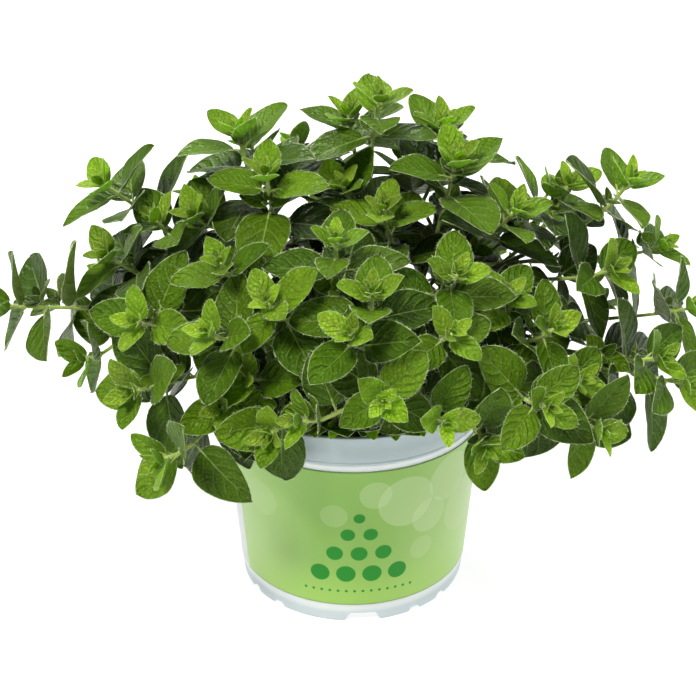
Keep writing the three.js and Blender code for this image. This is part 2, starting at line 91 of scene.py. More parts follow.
def newMaterial(name, surface, look):
    material = bpy.data.materials.new(name)
    material.use_nodes = True
    material.node_tree.nodes.clear()
    add = partial(addNode, material.node_tree)
    add("OutputMaterial", {"Surface": surface(add, look)})
    return material


# settings that many nodes share
times, timesPlus, minus, absolute = (
    {"operation": name} for name in ("MULTIPLY", "MULTIPLY_ADD", "SUBTRACT", "ABSOLUTE")
)
soft = {"interpolation_type": "SMOOTHSTEP"}
colours = {"data_type": "RGBA"}
vertexValues = ("age", "tint", "under", "margin")
# added to a seed, so that each kind of detail draws its own numbers
seedOf = {
    "tip": 500, "stem": 700, "stemHair": 800, "sprout": 900, "lower": 2500, "margin": 5000, "tuft": 7000,
    "petiole": 9000,
}


# the same value between 0 and 1 for the same two whole numbers
def draw(a, b):
    v = sin(a * 12.9898 + b * 78.233) * 43758.5453
    return v - floor(v)


def between(span, share):
    return span[0] + (span[1] - span[0]) * share


def heading(azimuth, elevation):
    a = radians(azimuth)
    e = radians(elevation)
    return Vector((cos(a) * cos(e), sin(a) * cos(e), sin(e)))


def square(vector, axis):
    return (vector - axis * vector.dot(axis)).normalized()


def smooth(low, high, x):
    k = np.clip((x - low) / (high - low), 0, 1)
    return k * k * (3 - 2 * k)


def newStore():
    return {name: [] for name in ("points", "triangles", "uv", "slots", *vertexValues)} | {"count": 0}


def addPatch(store, points, triangles, slot, uv=None, age=0.0, tint=0.5, under=0.0, margin=9.0):
    n = len(points)
    store["points"].append(np.asarray(points, float))
    store["triangles"].append(np.asarray(triangles, int) + store["count"])
    store["uv"].append(np.zeros((n, 2)) if uv is None else np.asarray(uv, float))
    for name, value in zip(vertexValues, (age, tint, under, margin)):
        store[name].append(np.broadcast_to(np.asarray(value, float), (n,)))
    store["slots"].append(np.full(len(triangles), slot))
    store["count"] += n


def makeObject(name, store, materials):
    points = np.concatenate(store["points"]) * mm
    triangles = np.concatenate(store["triangles"])
    mesh = bpy.data.meshes.new(name)
    mesh.vertices.add(len(points))
    mesh.vertices.foreach_set("co", points.astype(np.float32).ravel())
    mesh.loops.add(triangles.size)
    mesh.loops.foreach_set("vertex_index", triangles.astype(np.int32).ravel())
    mesh.polygons.add(len(triangles))
    mesh.polygons.foreach_set("loop_start", np.arange(0, triangles.size, 3, dtype=np.int32))
    mesh.polygons.foreach_set("material_index", np.concatenate(store["slots"]).astype(np.int32))
    mesh.polygons.foreach_set("use_smooth", np.ones(len(triangles), bool))
    layer = mesh.uv_layers.new(name="bladeUv")
    layer.data.foreach_set("uv", np.concatenate(store["uv"])[triangles.ravel()].astype(np.float32).ravel())
    for key in vertexValues:
        values = mesh.attributes.new(key, "FLOAT", "POINT")
        values.data.foreach_set("value", np.concatenate(store[key]).astype(np.float32))
    for material in materials:
        mesh.materials.append(material)
    mesh.update(calc_edges=True)
    mesh.validate()
    made = bpy.data.objects.new(name, mesh)
    bpy.context.scene.collection.objects.link(made)
    return made


# rings of points joined in order, with a fan at each end to the two points that follow the last ring
def tubeFaces(rings, corners):
    faces = []
    for i in range(rings - 1):
        for k in range(corners):
            a, b = i * corners + k, i * corners + (k + 1) % corners
            faces += [(a, b, b + corners), (a, b + corners, a + corners)]
    first, base = rings * corners, (rings - 1) * corners
    for k in range(corners):
        j = (k + 1) % corners
        faces += [(first, j, k), (first + 1, base + k, base + j)]
    return np.array(faces)


# ---- growth rule of the shoots, the same one that the solids follow ----

potForm = {
    "height": 102, "footRadius": 53.7, "taper": 0.077, "wall": 1.2, "bandBase": 87, "bandStep": 1.0,
    "lip": 0.8, "lipHeight": 1.8, "floorTop": 7.6, "floorThick": 1.6, "turns": 360,
}
soilForm = {
    "edge": 91.5, "crown": 94, "crownRadius": 34, "slope": 25, "holeDepth": 20, "rings": 26, "turns": 120,
}
stemForm = {"main": 1.6, "side": 1.36, "sprout": 1.1, "tip": 0.8, "full": 150, "steps": 24, "spacing": 44}
bend = {"start": 0.38, "tip": 0.36}

# from the tip down: distance below it, half height of the node, petiole, blade, half width,
# angle from the stem, droop, turn of the face to the light
pairColumns = ("below", "node", "petiole", "blade", "half", "angle", "droop", "turn")
pairRows = [
    dict(zip(pairColumns, row)) for row in (
        (2.2, 0.8, 1.2, 14, 5.2, 52, 0, 0.2),
        (7.6, 0.9, 2.2, 21, 7.7, 70, 0.08, 0.45),
        (16.5, 1, 3.6, 26.5, 9.8, 79, 0.14, 0.6),
        (30, 1, 4.6, 29.5, 11, 85, 0.2, 0.75),
        (47, 1, 5.6, 31, 11.4, 88, 0.24, 0.85),
    )
]
foldShare = 0.2
keelDepth = 0.55
lightFrom = 60
vary = {"turn": 22, "lean": 18, "size": 0.16, "droop": 0.12}
tries = [
    (0, 0, 1), (12, 0, 1), (-12, 0, 1), (0, 14, 1), (0, -14, 1), (22, 10, 0.95), (-22, 10, 0.95),
    (20, -14, 0.9), (-20, -14, 0.9), (34, 0, 0.85), (-34, 0, 0.85), (0, 26, 0.8), (0, -26, 0.8),
    (16, 8, 0.65), (-16, -8, 0.65), (30, -18, 0.6), (-30, 18, 0.6),
]
baseTries = 24
golden = 0.618034
feet = {"nearest": 8, "spread": 38, "fan": 60, "turn": 37}
fork = {"lowest": 0.3, "spread": 0.3}
bare = {"main": 26, "side": 14, "sprout": 6}

# a row for each stem, its main shoot first: tip x, y, z, compass angle, angle over the horizon, roll, size
stemRows = [
    [(-160, -20, 145, 205, 14, 70, 1.15), (-126, -20, 119, 220, 12, 60, 1.15)],
    [(-118, 20, 200, 205, 45, 75, 1.2), (-92, 5, 183, 200, 60, 10, 1.1)],
    [(-113, -10, 168, 215, 45, 70, 1.1), (-94, -50, 141, 235, 35, 10, 1.1)],
    [(-96, -60, 111, 235, 15, 25, 1.2), (-82, -80, 84, 215, 8, 60, 1.2), (-56, -72, 106, 240, 25, 40, 1.05)],
    [(-60, -70, 139, 225, 40, 20, 1.0), (-57, -45, 167, 245, 55, 40, 0.95)],
    [(-52, 5, 223, 230, 78, 85, 1.2), (-38, -20, 204, 250, 74, 10, 1.15), (-72, -8, 186, 220, 55, 50, 1.1)],
    [(-7, -55, 177, 270, 76, 85, 0.95), (-35, -70, 152, 250, 52, 45, 1.0)],
    [(12, 10, 237, 300, 72, 75, 1.15), (-2, 25, 232, 240, 72, 10, 1.15), (-4, 0, 199, 250, 65, 60, 1.1)],
    [(43, 25, 227, 300, 74, 80, 1.2), (26, 35, 212, 300, 66, 0, 1.15)],
    [(46, -10, 210, 290, 72, 0, 1.2), (14, -20, 189, 260, 66, 0, 1.05), (74, -6, 188, 320, 60, 40, 1.15)],
    [(8, -80, 157, 270, 70, 90, 1.0), (-1, -95, 142, 255, 50, 70, 1.0)],
    [(44, -60, 163, 295, 52, 60, 1.0), (41, -80, 140, 300, 45, 20, 1.0), (18, -44, 148, 280, 50, 40, 1.05)],
    [(68, -45, 152, 295, 55, 30, 1.0), (88, -50, 138, 300, 50, 85, 1.0), (92, -20, 118, 320, 20, 50, 1.1)],
    [(99, -60, 116, 310, 32, 40, 1.0), (81, -85, 109, 300, 20, 45, 1.0)],
    [(127, 0, 201, 330, 62, 35, 1.15), (147, 10, 171, 325, 35, 0, 1.05)],
    [(101, 10, 199, 310, 72, 85, 1.15), (118, -20, 162, 315, 35, 10, 1.05)],
    [(139, -40, 123, 310, 30, 20, 1.05), (150, -45, 112, 320, 12, 0, 1.1)],
    [(160, -10, 143, 325, 28, 70, 1.05), (108, -70, 95, 320, 0, 60, 1.1)],
    [(12, -105, 116, 272, 25, 45, 1.0), (-21, -95, 105, 205, 20, 20, 0.95), (38, -92, 104, 285, 15, 70, 1.05)],
    [(-46, -66, 118, 240, 30, 0, 1.1), (-34, -84, 97, 240, 5, 0, 1.15), (56, -86, 92, 280, -15, 70, 1.15)],
    [(64, -62, 118, 300, 30, 10, 1.1)],
]
# how wide the chosen tips spread, how far they lean back for each mm to the front, and sit lower
spread = {"wide": 0.94, "lean": 0.33, "down": 8}
mound = {
    "count": 5, "shoots": 2, "x": 140, "y": 113, "z": 125, "middle": 88, "azimuth": (12, 168),
    "start": 0.3, "lowest": 12, "rise": 58, "tipLowest": 20, "tipRise": 0.75,
}
up = Vector((0, 0, 1))
sun = Vector((0, -0.35, 1))


def wallRadius(z):
    return potForm["footRadius"] + potForm["taper"] * z


def shootRows():
    names = ("azimuth", "elevation", "roll", "size")
    rows = []
    for row in stemRows:
        tips = [Vector((x * spread["wide"], y, z - spread["down"] - spread["lean"] * y)) for x, y, z, *_ in row]
        rows.append([{"tip": tip, **dict(zip(names, values[3:]))} for tip, values in zip(tips, row)])
    for i in range(mound["count"]):
        row = []
        for k in range(mound["shoots"]):
            n = i * mound["shoots"] + k
            azimuth = between(mound["azimuth"], (n * golden + mound["start"]) % 1)
            elevation = mound["lowest"] + mound["rise"] * ((n + 0.5) / (mound["count"] * mound["shoots"]))
            out = heading(azimuth, elevation)
            tip = Vector((out.x * mound["x"], out.y * mound["y"], mound["middle"] + out.z * mound["z"]))
            values = (azimuth, mound["tipLowest"] + mound["tipRise"] * elevation, 90 * draw(n, 7), 1)
            row.append({"tip": tip, **dict(zip(names, values))})
        rows.append(row)
    return rows


def curvePoint(ends, k):
    a, b, c, d = ends
    u = 1 - k
    return a * u ** 3 + b * (3 * u * u * k) + c * (3 * u * k * k) + d * k ** 3


def below(path, distance):
    left = distance
    for i in range(len(path) - 1, 0, -1):
        way = path[i] - path[i - 1]
        length = way.length
        if left <= length or i == 1:
            way = way.normalized()
            return path[i] - way * left, way
        left -= length


def radiusAt(shoot, down):
    return stemForm["tip"] + (shoot["thick"] - stemForm["tip"]) * min(1, down / stemForm["full"])


def stationsOf(shoot):
    marks = [pair["below"] + by * pair["node"] for pair in shoot["pairs"] for by in (-1, 1)]
    last = marks[-1]
    rest = max(2, floor((shoot["length"] - last) / stemForm["spacing"] + 0.5))
    marks += [last + (shoot["length"] - last) * i / rest for i in range(1, rest + 1)]
    stations = []
    side = None
    for distance in marks:
        point, way = below(shoot["path"], distance)
        if side is None:
            upward = square(up, way)
            roll = radians(shoot["roll"])
            side = upward * cos(roll) + way.cross(upward) * sin(roll)
        side = square(side, way)
        radius = radiusAt(shoot, distance)
        stations.append({"point": point, "way": way, "side": side, "other": way.cross(side), "radius": radius})
    return stations


def cornersOf(station):
    half = station["radius"] * sqrt(0.5)
    return [
        station["point"] + station["side"] * (a * half) + station["other"] * (b * half)
        for a, b in ((1, -1), (1, 1), (-1, 1), (-1, -1))
    ]


def growShoot(row, seed, kind, foot, leaving):
    tip = row["tip"]
    span = (foot - tip).length
    tipWay = heading(row["azimuth"], row["elevation"])
    ends = (foot, foot + leaving * (span * bend["start"]), tip - tipWay * (span * bend["tip"]), tip)
    path = [curvePoint(ends, i / stemForm["steps"]) for i in range(stemForm["steps"] + 1)]
    length = sum((b - a).length for a, b in zip(path, path[1:]))
    pairs = [pair for pair in pairRows if pair["below"] < length - bare[kind]]
    shoot = {
        **row, "seed": seed, "kind": kind, "thick": stemForm[kind], "foot": foot, "ends": ends, "path": path,
        "length": length, "pairs": pairs, "leaves": [],
    }
    shoot["stations"] = stationsOf(shoot)
    return shoot


def mainShoot(row, seed, attempt):
    away = feet["nearest"] + feet["spread"] * ((draw(seed, 11) + attempt * golden) % 1)
    outward = atan2(row["tip"].y, row["tip"].x)
    bearing = outward + radians((draw(seed, 12) - 0.5) * feet["fan"] + attempt * feet["turn"])
    foot = Vector((cos(bearing) * away, sin(bearing) * away, soilForm["crown"]))
    return growShoot(row, seed, "main", foot, up)


def sideShoot(row, seed, attempt, parent):
    share = fork["lowest"] + fork["spread"] * ((draw(seed, 13) + attempt * golden) % 1)
    point, way = below(parent["path"], parent["length"] * (1 - share))
    toward = (row["tip"] - point).normalized()
    return growShoot(row, seed, "side", point, (way + toward).normalized())


leafColumns = ("root", "way", "face", "petiole", "blade", "half", "droop", "seed", "level")


# the way out from the stem, the way the leaf takes, and its upper face
def turnLeaf(axis, side, other, turn, lean, light=Vector()):
    out = side * cos(turn) + other * sin(turn)
    way = (axis * cos(lean) + out * sin(lean)).normalized()
    face = axis * sin(lean) - out * cos(lean) + light
    return out, way, square(face, way)


def lightAt(root):
    return Vector((root.x, root.y, root.z - lightFrom)).normalized() + sun


def placeLeaf(shoot, pairIndex, hand, attempt):
    pair = shoot["pairs"][pairIndex]
    turnBy, liftBy, scale = tries[attempt]
    seed = shoot["seed"] * 40 + pairIndex * 4 + hand
    station = shoot["stations"][pairIndex * 2]
    point, axis = below(shoot["path"], pair["below"])
    axes = (axis, station["side"], station["other"])
    turn = (pairIndex % 2) * 90 + hand * 180
    root = point + turnLeaf(*axes, radians(turn), 0)[0] * (station["radius"] * sqrt(0.5))
    turn += (draw(seed, 1) - 0.5) * vary["turn"] + turnBy
    lean = pair["angle"] + (draw(seed, 2) - 0.5) * vary["lean"] - liftBy
    _, way, face = turnLeaf(*axes, radians(turn), radians(lean), lightAt(root) * pair["turn"])
    size = shoot["size"] * scale * (1 + vary["size"] * (draw(seed, 3) - 0.5))
    droop = pair["droop"] + vary["droop"] * (draw(seed, 4) - 0.5)
    sizes = [pair[name] * size for name in ("petiole", "blade", "half")]
    return dict(zip(leafColumns, (root, way, face, *sizes, droop, seed, pairIndex)))


# each leaf takes the first of its tries that is accepted, if there is one
def fillPairs(shoot, accept):
    for pairIndex, hand in product(range(len(shoot["pairs"])), range(2)):
        leaves = (placeLeaf(shoot, pairIndex, hand, attempt) for attempt in range(len(tries)))
        shoot["leaves"] += islice(filter(accept, leaves), 1)


def leafTip(leaf):
    reach = leaf["way"] * (leaf["petiole"] + leaf["blade"])
    return leaf["root"] + reach - leaf["face"] * (leaf["droop"] * leaf["blade"])


# finds which of its tries each shoot and leaf took, by what stands in the frame
nearEnough = 0.02
shoots = []
for i, row in enumerate(shootRows()):
    node = f"leafy_stem_{i + 1:02d}"
    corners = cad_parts[node].data.vertices
    tree = KDTree(len(corners))
    for corner in corners:
        tree.insert(corner.co / mm, corner.index)
    tree.balance()
    parent = None
    for level, data in enumerate(row):
        found = []
        for attempt in range(baseTries):
            seed = i * 4 + level
            if parent:
                shoot = sideShoot(data, seed, attempt, parent)
                spots = [p for station in shoot["stations"][:-2] for p in cornersOf(station)]
            else:
                shoot = mainShoot(data, seed, attempt)
                sunk = soilForm["crown"] - soilForm["holeDepth"]
                spots = [Vector((p.x, p.y, sunk)) for p in cornersOf(shoot["stations"][-1])]
            found.append((sum(tree.find(p)[2] for p in spots) / len(spots), attempt, shoot))
            if found[-1][0] < nearEnough:
                break
        miss, _, shoot = min(found)
        if miss > nearEnough:
            print("shoot", i, level, "is off by", round(miss, 3), "mm")
        parent = parent or shoot
        shoot["node"] = node
        fillPairs(shoot, lambda leaf: tree.find(leafTip(leaf))[2] < nearEnough)
        shoots.append(shoot)
print("shoots:", len(shoots), "leaves found in the frame:", sum(len(s["leaves"]) for s in shoots))


# ---- materials of the plant ----

# Oregano leaf, grown, soft-haired skin: velvety, light through it, sunken veins, and a pale margin that is
# partly the hairy edge's own colour and partly painted rim light
leafLook = {
    "ages": [(0, "#C0D850"), (0.13, "#8EB62C"), (0.33, "#527806"), (0.62, "#375305"), (1, "#263B05")],
    "backYoung": "#98B452", "backOld": "#667C42", "vein": "#A5BF6A", "rim": "#C8DAA0", "glow": "#F0FA9C",
    "roughness": 0.33, "specular": 0.24, "ior": 1.42, "throughYoung": 0.48, "throughOld": 0.15, "rimWide": 0.5,
    "veinPitch": 0.21, "wander": 0.1, "bend": 5, "blotch": 14, "net": 1.7, "grain": 0.5,
    "bumpYoung": 1.2, "bumpOld": 0.95, "bumpDeep": 0.55,
}


def leafSurface(add, look):
    along, across, _ = add("SeparateXYZ", {}, add("UVMap", {"uv_map": "bladeUv"})).outputs
    aside = add("Math", absolute, add("Math", timesPlus, across, 2, -1))
    age, tint, under, margin = [
        add("Attribute", {"attribute_name": name}).outputs["Fac"] for name in vertexValues
    ]
    place = add("TexCoord").outputs["Object"]

    # midrib, and side veins that leave it at about 45 degrees, wander and curve to the tip
    rib = add("MapRange", soft, aside, 0.012, 0.06, 1, 0)
    lean = add("Math", timesPlus, aside, 0.16, 0.28)
    start = add("Math", minus, along, add("Math", times, lean, aside))
    stray = add("TexNoise", {"Scale": 1 / (look["bend"] * mm), "Detail": 1, "Vector": place})
    bent = add("Math", timesPlus, stray, look["wander"], start)
    wrap = add("Math", {"operation": "FRACT"}, add("Math", {"operation": "DIVIDE"}, bent, look["veinPitch"]))
    off = add("Math", absolute, add("Math", minus, wrap, 0.5))
    line = add("MapRange", soft, off, 0.02, 0.09, 1, 0)
    vein = add("Math", times, line, add("MapRange", soft, aside, 0.45, 0.9, 1, 0))
    cells = add("TexVoronoi", {"feature": "DISTANCE_TO_EDGE", "Scale": 1 / (look["net"] * mm), "Vector": place})
    net = add("MapRange", soft, cells, 0, 0.22)

    ramp = add("ValToRGB", {}, age)
    setStops(ramp, look["ages"])
    blotch = {"Scale": 1 / (look["blotch"] * mm), "Detail": 3, "Roughness": 0.6, "Vector": place}
    value = add("MapRange", {}, add("TexNoise", blotch), 0.3, 0.7, 0.84, 1.16)
    for source, low, high in ((tint, 0.8, 1.2), (net, 0.78, 1.04)):
        value = add("Math", times, value, add("MapRange", {}, source, 0, 1, low, high))
    hue = add("MapRange", {}, tint, 0, 1, 0.506, 0.492)
    upper = add("HueSaturation", {"Hue": hue, "Value": value, "Color": ramp})
    back = add("Mix", colours | {0: age, 6: look["backYoung"], 7: look["backOld"]})
    skin = add("Mix", colours | {0: under, 6: upper, 7: add("HueSaturation", {"Value": value, "Color": back})})

    ribFade = add("MapRange", {}, along, 0.2, 0.95, 0.6, 0.1)
    ribPale = add("Math", times, ribFade, add("MapRange", {}, age, 0.1, 0.6, 0.25, 1))
    ribShare, veinShare = add("Math", times, rib, ribPale), add("Math", times, vein, 0.16)
    pale = add("Math", {"operation": "MAXIMUM"}, ribShare, veinShare)
    veined = add("Mix", colours | {0: pale, 6: skin, 7: look["vein"]})
    # pale margin: partly the hairy edge's own colour, partly painted rim light where the hairs catch the light
    edge = add("MapRange", soft, margin, 0.05, look["rimWide"], 0.9, 0)
    rimmed = add("Mix", colours | {0: edge, 6: veined, 7: look["rim"]})

    # cushions between the veins, the fine net on them, and the short hair as grain
    cushion = add("MapRange", soft, off, 0, 0.35)
    height = add("Math", times, cushion, add("Math", minus, 1, rib))
    netted = add("Math", timesPlus, net, 0.4, height)
    grain = add("TexNoise", {"Scale": 1 / (look["grain"] * mm), "Detail": 2, "Vector": place})
    relief = add("Math", timesPlus, grain, 0.3, netted)
    strength = add("MapRange", {}, age, 0, 1, look["bumpYoung"], look["bumpOld"])
    bump = add("Bump", {"Distance": look["bumpDeep"] * mm, "Strength": strength, "Height": relief})

    body = add("BsdfPrincipled", {"Base Color": rimmed, "Normal": bump, **finishOf(look)})
    glow = add("Mix", colours | {"blend_type": "MULTIPLY", 0: 1, 6: rimmed, 7: look["glow"]})
    brighter = add("HueSaturation", {"Saturation": 1.05, "Value": 1.7, "Color": glow})
    thin = add("MapRange", {}, age, 0.05, 0.45, look["throughYoung"], look["throughOld"])
    return add("MixShader", {}, thin, body, add("BsdfTranslucent", {"Color": brighter}))


# Oregano stem and petiole, grown: pale green and juicy near the tips, brown and woody at the foot
stemLook = {
    "ages": [(0, "#A8C254"), (0.45, "#6B8142"), (1, "#665838")], "blush": "#7A6842",
    "roughness": 0.55, "specular": 0.3, "ior": 1.42, "sheen": 0.3, "streak": 6, "grain": 1.4,
}


def stemSurface(add, look):
    age = add("Attribute", {"attribute_name": "age"}).outputs["Fac"]
    place = add("TexCoord").outputs["Object"]
    ramp = add("ValToRGB", {}, age)
    setStops(ramp, look["ages"])
    streak, grain = [
        add("TexNoise", {"Scale": 1 / (look[name] * mm), "Detail": 3, "Vector": place})
        for name in ("streak", "grain")
    ]
    share = add("MapRange", {}, streak, 0.5, 0.75, 0, 0.5)
    return add("BsdfPrincipled", {
        "Base Color": add("Mix", colours | {0: share, 6: ramp, 7: look["blush"]}),
        "Normal": add("Bump", {"Strength": 0.35, "Distance": 0.3 * mm, "Height": grain}), **finishOf(look),
    })


# Plant hair, grown: glassy and colourless, it lights up against dark leaves
hairLook = {"base": "#D3E2AE", "tip": "#F8FBEE", "roughness": 0.4, "specular": 0.4, "ior": 1.5}


def hairSurface(add, look):
    age = add("Attribute", {"attribute_name": "age"}).outputs["Fac"]
    base = add("Mix", colours | {0: age, 6: look["base"], 7: look["tip"]})
    return add("BsdfPrincipled", {"Base Color": base, **finishOf(look)})


plantMaterials = [
    newMaterial("leafGrownVelvety", leafSurface, leafLook),
    newMaterial("stemGrownSquare", stemSurface, stemLook),
    newMaterial("hairGrownGlassy", hairSurface, hairLook),
]
leafSlot, stemSlot, hairSlot = 0, 1, 2
print("plant materials made")


# ---- leaf blades ----

bladeForm = {
    "thick": 0.32, "groove": 0.14, "rib": 0.5, "puff": 0.38, "wave": 0.35, "veins": 0.17,
    "roundBase": 0.46, "sharpTip": (0.6, 0.84),
}
# for blades longer than the first number: rows along the blade, and places across its half
bladeGrids = [(17, 16, (0.07, 0.33, 0.66, 0.93)), (9, 11, (0.08, 0.45, 0.92)), (0, 7, (0.1, 0.88))]


def bladeGrid(rows, halfPlaces):
    across = [-1] + [-p for p in reversed(halfPlaces)] + [0] + list(halfPlaces) + [1]
    along = [0.5 - 0.5 * cos(pi * i / rows) for i in range(1, rows)]
    s = [0.0, 1.0] + [a for a in along for _ in across] + [a for a in along for _ in across[1:-1]]
    t = [0.0, 0.0] + [c for _ in along for c in across] + [c for _ in along for c in across[1:-1]]
    wide = len(across)
    lowFrom = 2 + len(along) * wide
    under = [0.5, 0.5] + [0.0] * (len(along) * wide) + [1.0] * (len(along) * (wide - 2))

    def top(i, k):
        return 2 + i * wide + k

    def low(i, k):
        return top(i, k) if k in (0, wide - 1) else lowFrom + i * (wide - 2) + k - 1

    triangles = []
    for at, flip in ((top, False), (low, True)):
        found = []
        for i in range(len(along) - 1):
            for k in range(wide - 1):
                a, b, c, d = at(i, k), at(i + 1, k), at(i + 1, k + 1), at(i, k + 1)
                found += [(a, b, c), (a, c, d)]
        for k in range(wide - 1):
            found.append((0, at(0, k), at(0, k + 1)))
            found.append((1, at(len(along) - 1, k + 1), at(len(along) - 1, k)))
        triangles += [f[::-1] for f in found] if flip else found
    left, right = [[top(i, k) for i in range(len(along))] for k in (0, wide - 1)]
    edge = [0, *left, 1, *right[::-1]]
    return [np.array(values) for values in (s, t, under, triangles, edge)]


grids = [(longer, bladeGrid(rows, places)) for longer, rows, places in bladeGrids]


def widthOf(leaf, s):
    base = bladeForm["roundBase"]
    sharp = between(bladeForm["sharpTip"], draw(leaf["seed"], 21))
    peak = base / (base + sharp)
    top = peak ** base * (1 - peak) ** sharp
    return leaf["half"] * (np.maximum(s, 0) ** base * np.maximum(1 - s, 0) ** sharp / top)


def keelOf(leaf):
    return keelDepth * min(1, leaf["half"] / 9.3)


def bladePoints(leaf, s, t, under):
    seed = leaf["seed"]
    blade = leaf["blade"]
    width = widthOf(leaf, s)
    reach = np.abs(t)
    scale = min(1.1, leaf["half"] / 9)
    start = s - reach * (0.3 + 0.14 * reach)
    cushion = np.sin(pi * start / bladeForm["veins"]) ** 2 * np.sin(pi * np.clip(reach, 0, 1)) ** 0.7
    cushion *= smooth(0.02, 0.15, s) * smooth(0.0, 0.12, 1 - s)
    x = leaf["petiole"] + blade * s
    y = width * t + blade * s * s * 0.1 * (draw(seed, 22) - 0.5)
    keel = keelOf(leaf)
    fold = (foldShare * width + keel * smooth(0, 0.15, s)) * reach ** 1.25
    z = -leaf["droop"] * blade * s * s - keel / 2 + fold
    z = z + bladeForm["puff"] * scale * (0.6 + 0.8 * draw(seed, 23)) * cushion
    wave = np.sin(2 * pi * (1.6 * s + draw(seed, 24) + 0.25 * np.sign(t)))
    z = z + bladeForm["wave"] * scale * reach ** 3 * wave
    z = z + 0.05 * blade * (draw(seed, 25) - 0.5) * t * s
    z = z - bladeForm["groove"] * scale * (reach < 0.1) * smooth(0, 0.2, s) * (1 - s)
    thick = bladeForm["thick"] * (0.6 + 0.4 * scale)
    rib = bladeForm["rib"] * scale * (1 - s) ** 0.8 * np.exp(-(t / 0.07) ** 2)
    z = z - (under == 1) * (thick + rib + 0.25 * bladeForm["puff"] * scale * cushion)
    return x, y, z


def toPlace(leaf, x, y, z):
    way, face = np.array(leaf["way"]), np.array(leaf["face"])
    across = np.cross(way, face)
    return np.array(leaf["root"]) + np.outer(x, way) + np.outer(y, across) + np.outer(z, face)


# a hair is drawn about three times as thick as a real one, so that it shows from a step away
hairForm = {
    "thick": 0.13, "sunk": 0.06, "margin": 0.85, "marginEvery": 0.9, "stem": 1.3, "stemEvery": 0.6,
    "stemTo": 95, "petiole": 0.9, "petioleEvery": 0.6,
}


def pointsAlong(line, places, at):
    return np.stack([np.interp(at, places, line[:, k]) for k in range(3)], 1)


def addHairs(store, roots, ways, lengths, seed):
    n = len(roots)
    if n == 0:
        return
    random = np.random.default_rng(seed)
    ways = ways / np.linalg.norm(ways, axis=1, keepdims=True)
    aside = np.cross(ways, random.normal(size=(n, 3)))
    aside /= np.linalg.norm(aside, axis=1, keepdims=True)
    other = np.cross(ways, aside)
    radius = hairForm["thick"] / 2
    bases = roots - ways * hairForm["sunk"]
    thirds = [2 * pi * i / 3 for i in range(3)]
    corners = [bases + radius * (cos(a) * aside + sin(a) * other) for a in thirds]
    points = np.stack([*corners, roots + ways * lengths[:, None]], 1).reshape(-1, 3)
    first = np.arange(n)[:, None] * 4
    triangles = np.concatenate([first + np.array(f) for f in ((0, 1, 3), (1, 2, 3), (2, 0, 3), (2, 1, 0))])
    addPatch(store, points, triangles, hairSlot, age=np.tile([0, 0, 0, 1.0], n))


def addBlade(store, leaf, age, hairs=True):
    s, t, under, triangles, edge = next(grid for longer, grid in grids if leaf["blade"] > longer)
    points = toPlace(leaf, *bladePoints(leaf, s, t, under))
    uv = np.stack([s, t * 0.5 + 0.5], 1)
    margin = widthOf(leaf, s) * (1 - np.abs(t))
    addPatch(store, points, triangles, leafSlot, uv, age, draw(leaf["seed"], 26), under, margin)
    if not hairs:
        return
    # hairs round the margin, pointing out and a little up
    closed = points[[*edge, edge[0]]]
    steps = np.linalg.norm(np.diff(closed, axis=0), axis=1)
    total = steps.sum()
    count = int(total / hairForm["marginEvery"] * min(1, 0.35 + leaf["half"] / 12))
    random = np.random.default_rng(leaf["seed"] + seedOf["margin"])
    places = np.sort(random.uniform(0, total, count))
    roots = pointsAlong(closed, np.concatenate([[0], np.cumsum(steps)]), places)
    face = np.array(leaf["face"])
    ways = roots - points[2:].mean(0)
    ways -= np.outer(ways @ face, face)
    ways /= np.linalg.norm(ways, axis=1, keepdims=True)
    ways += np.outer(random.uniform(-0.1, 0.5, count), face) + random.normal(0, 0.25, (count, 3))
    lengths = hairForm["margin"] * random.uniform(0.6, 1.3, count) * min(1, 0.5 + leaf["half"] / 14)
    addHairs(store, roots, ways, lengths, leaf["seed"])


def tube(store, centres, sides, others, radii, ages, corners):
    points = [c + (a * u + b * v) * r for c, a, b, r in zip(centres, sides, others, radii) for u, v in corners]
    age = np.concatenate([np.repeat(ages, len(corners)), [ages[0], ages[-1]]])
    faces = tubeFaces(len(centres), len(corners))
    addPatch(store, [*points, centres[0], centres[-1]], faces, stemSlot, age=age)


roundCorners = [(cos(a), sin(a)) for a in np.arange(6) * pi / 3]
# square with soft edges: radius at a corner is 1
squareCorners = []
for quarter in range(4):
    for turn, r in ((0, 0.76), (33, 0.93), (57, 0.93)):
        a = radians(90 * quarter + turn)
        squareCorners.append((r * cos(a), r * sin(a)))


# a leaf stalk starts in the stem and ends under the blade: its radius at the stem and what it loses
petioleForm = {"rings": 5, "start": 0.5, "into": 0.12, "sag": 0.22, "arch": 0.35, "thick": 0.62, "loses": 0.25}
# step between the rings, swelling at a node, depth under the soil, and where a stem is old
stemBuild = {"step": 3.2, "fewest": 16, "swell": 0.16, "swellWide": 1.3, "sunk": 9, "oldAt": 130}


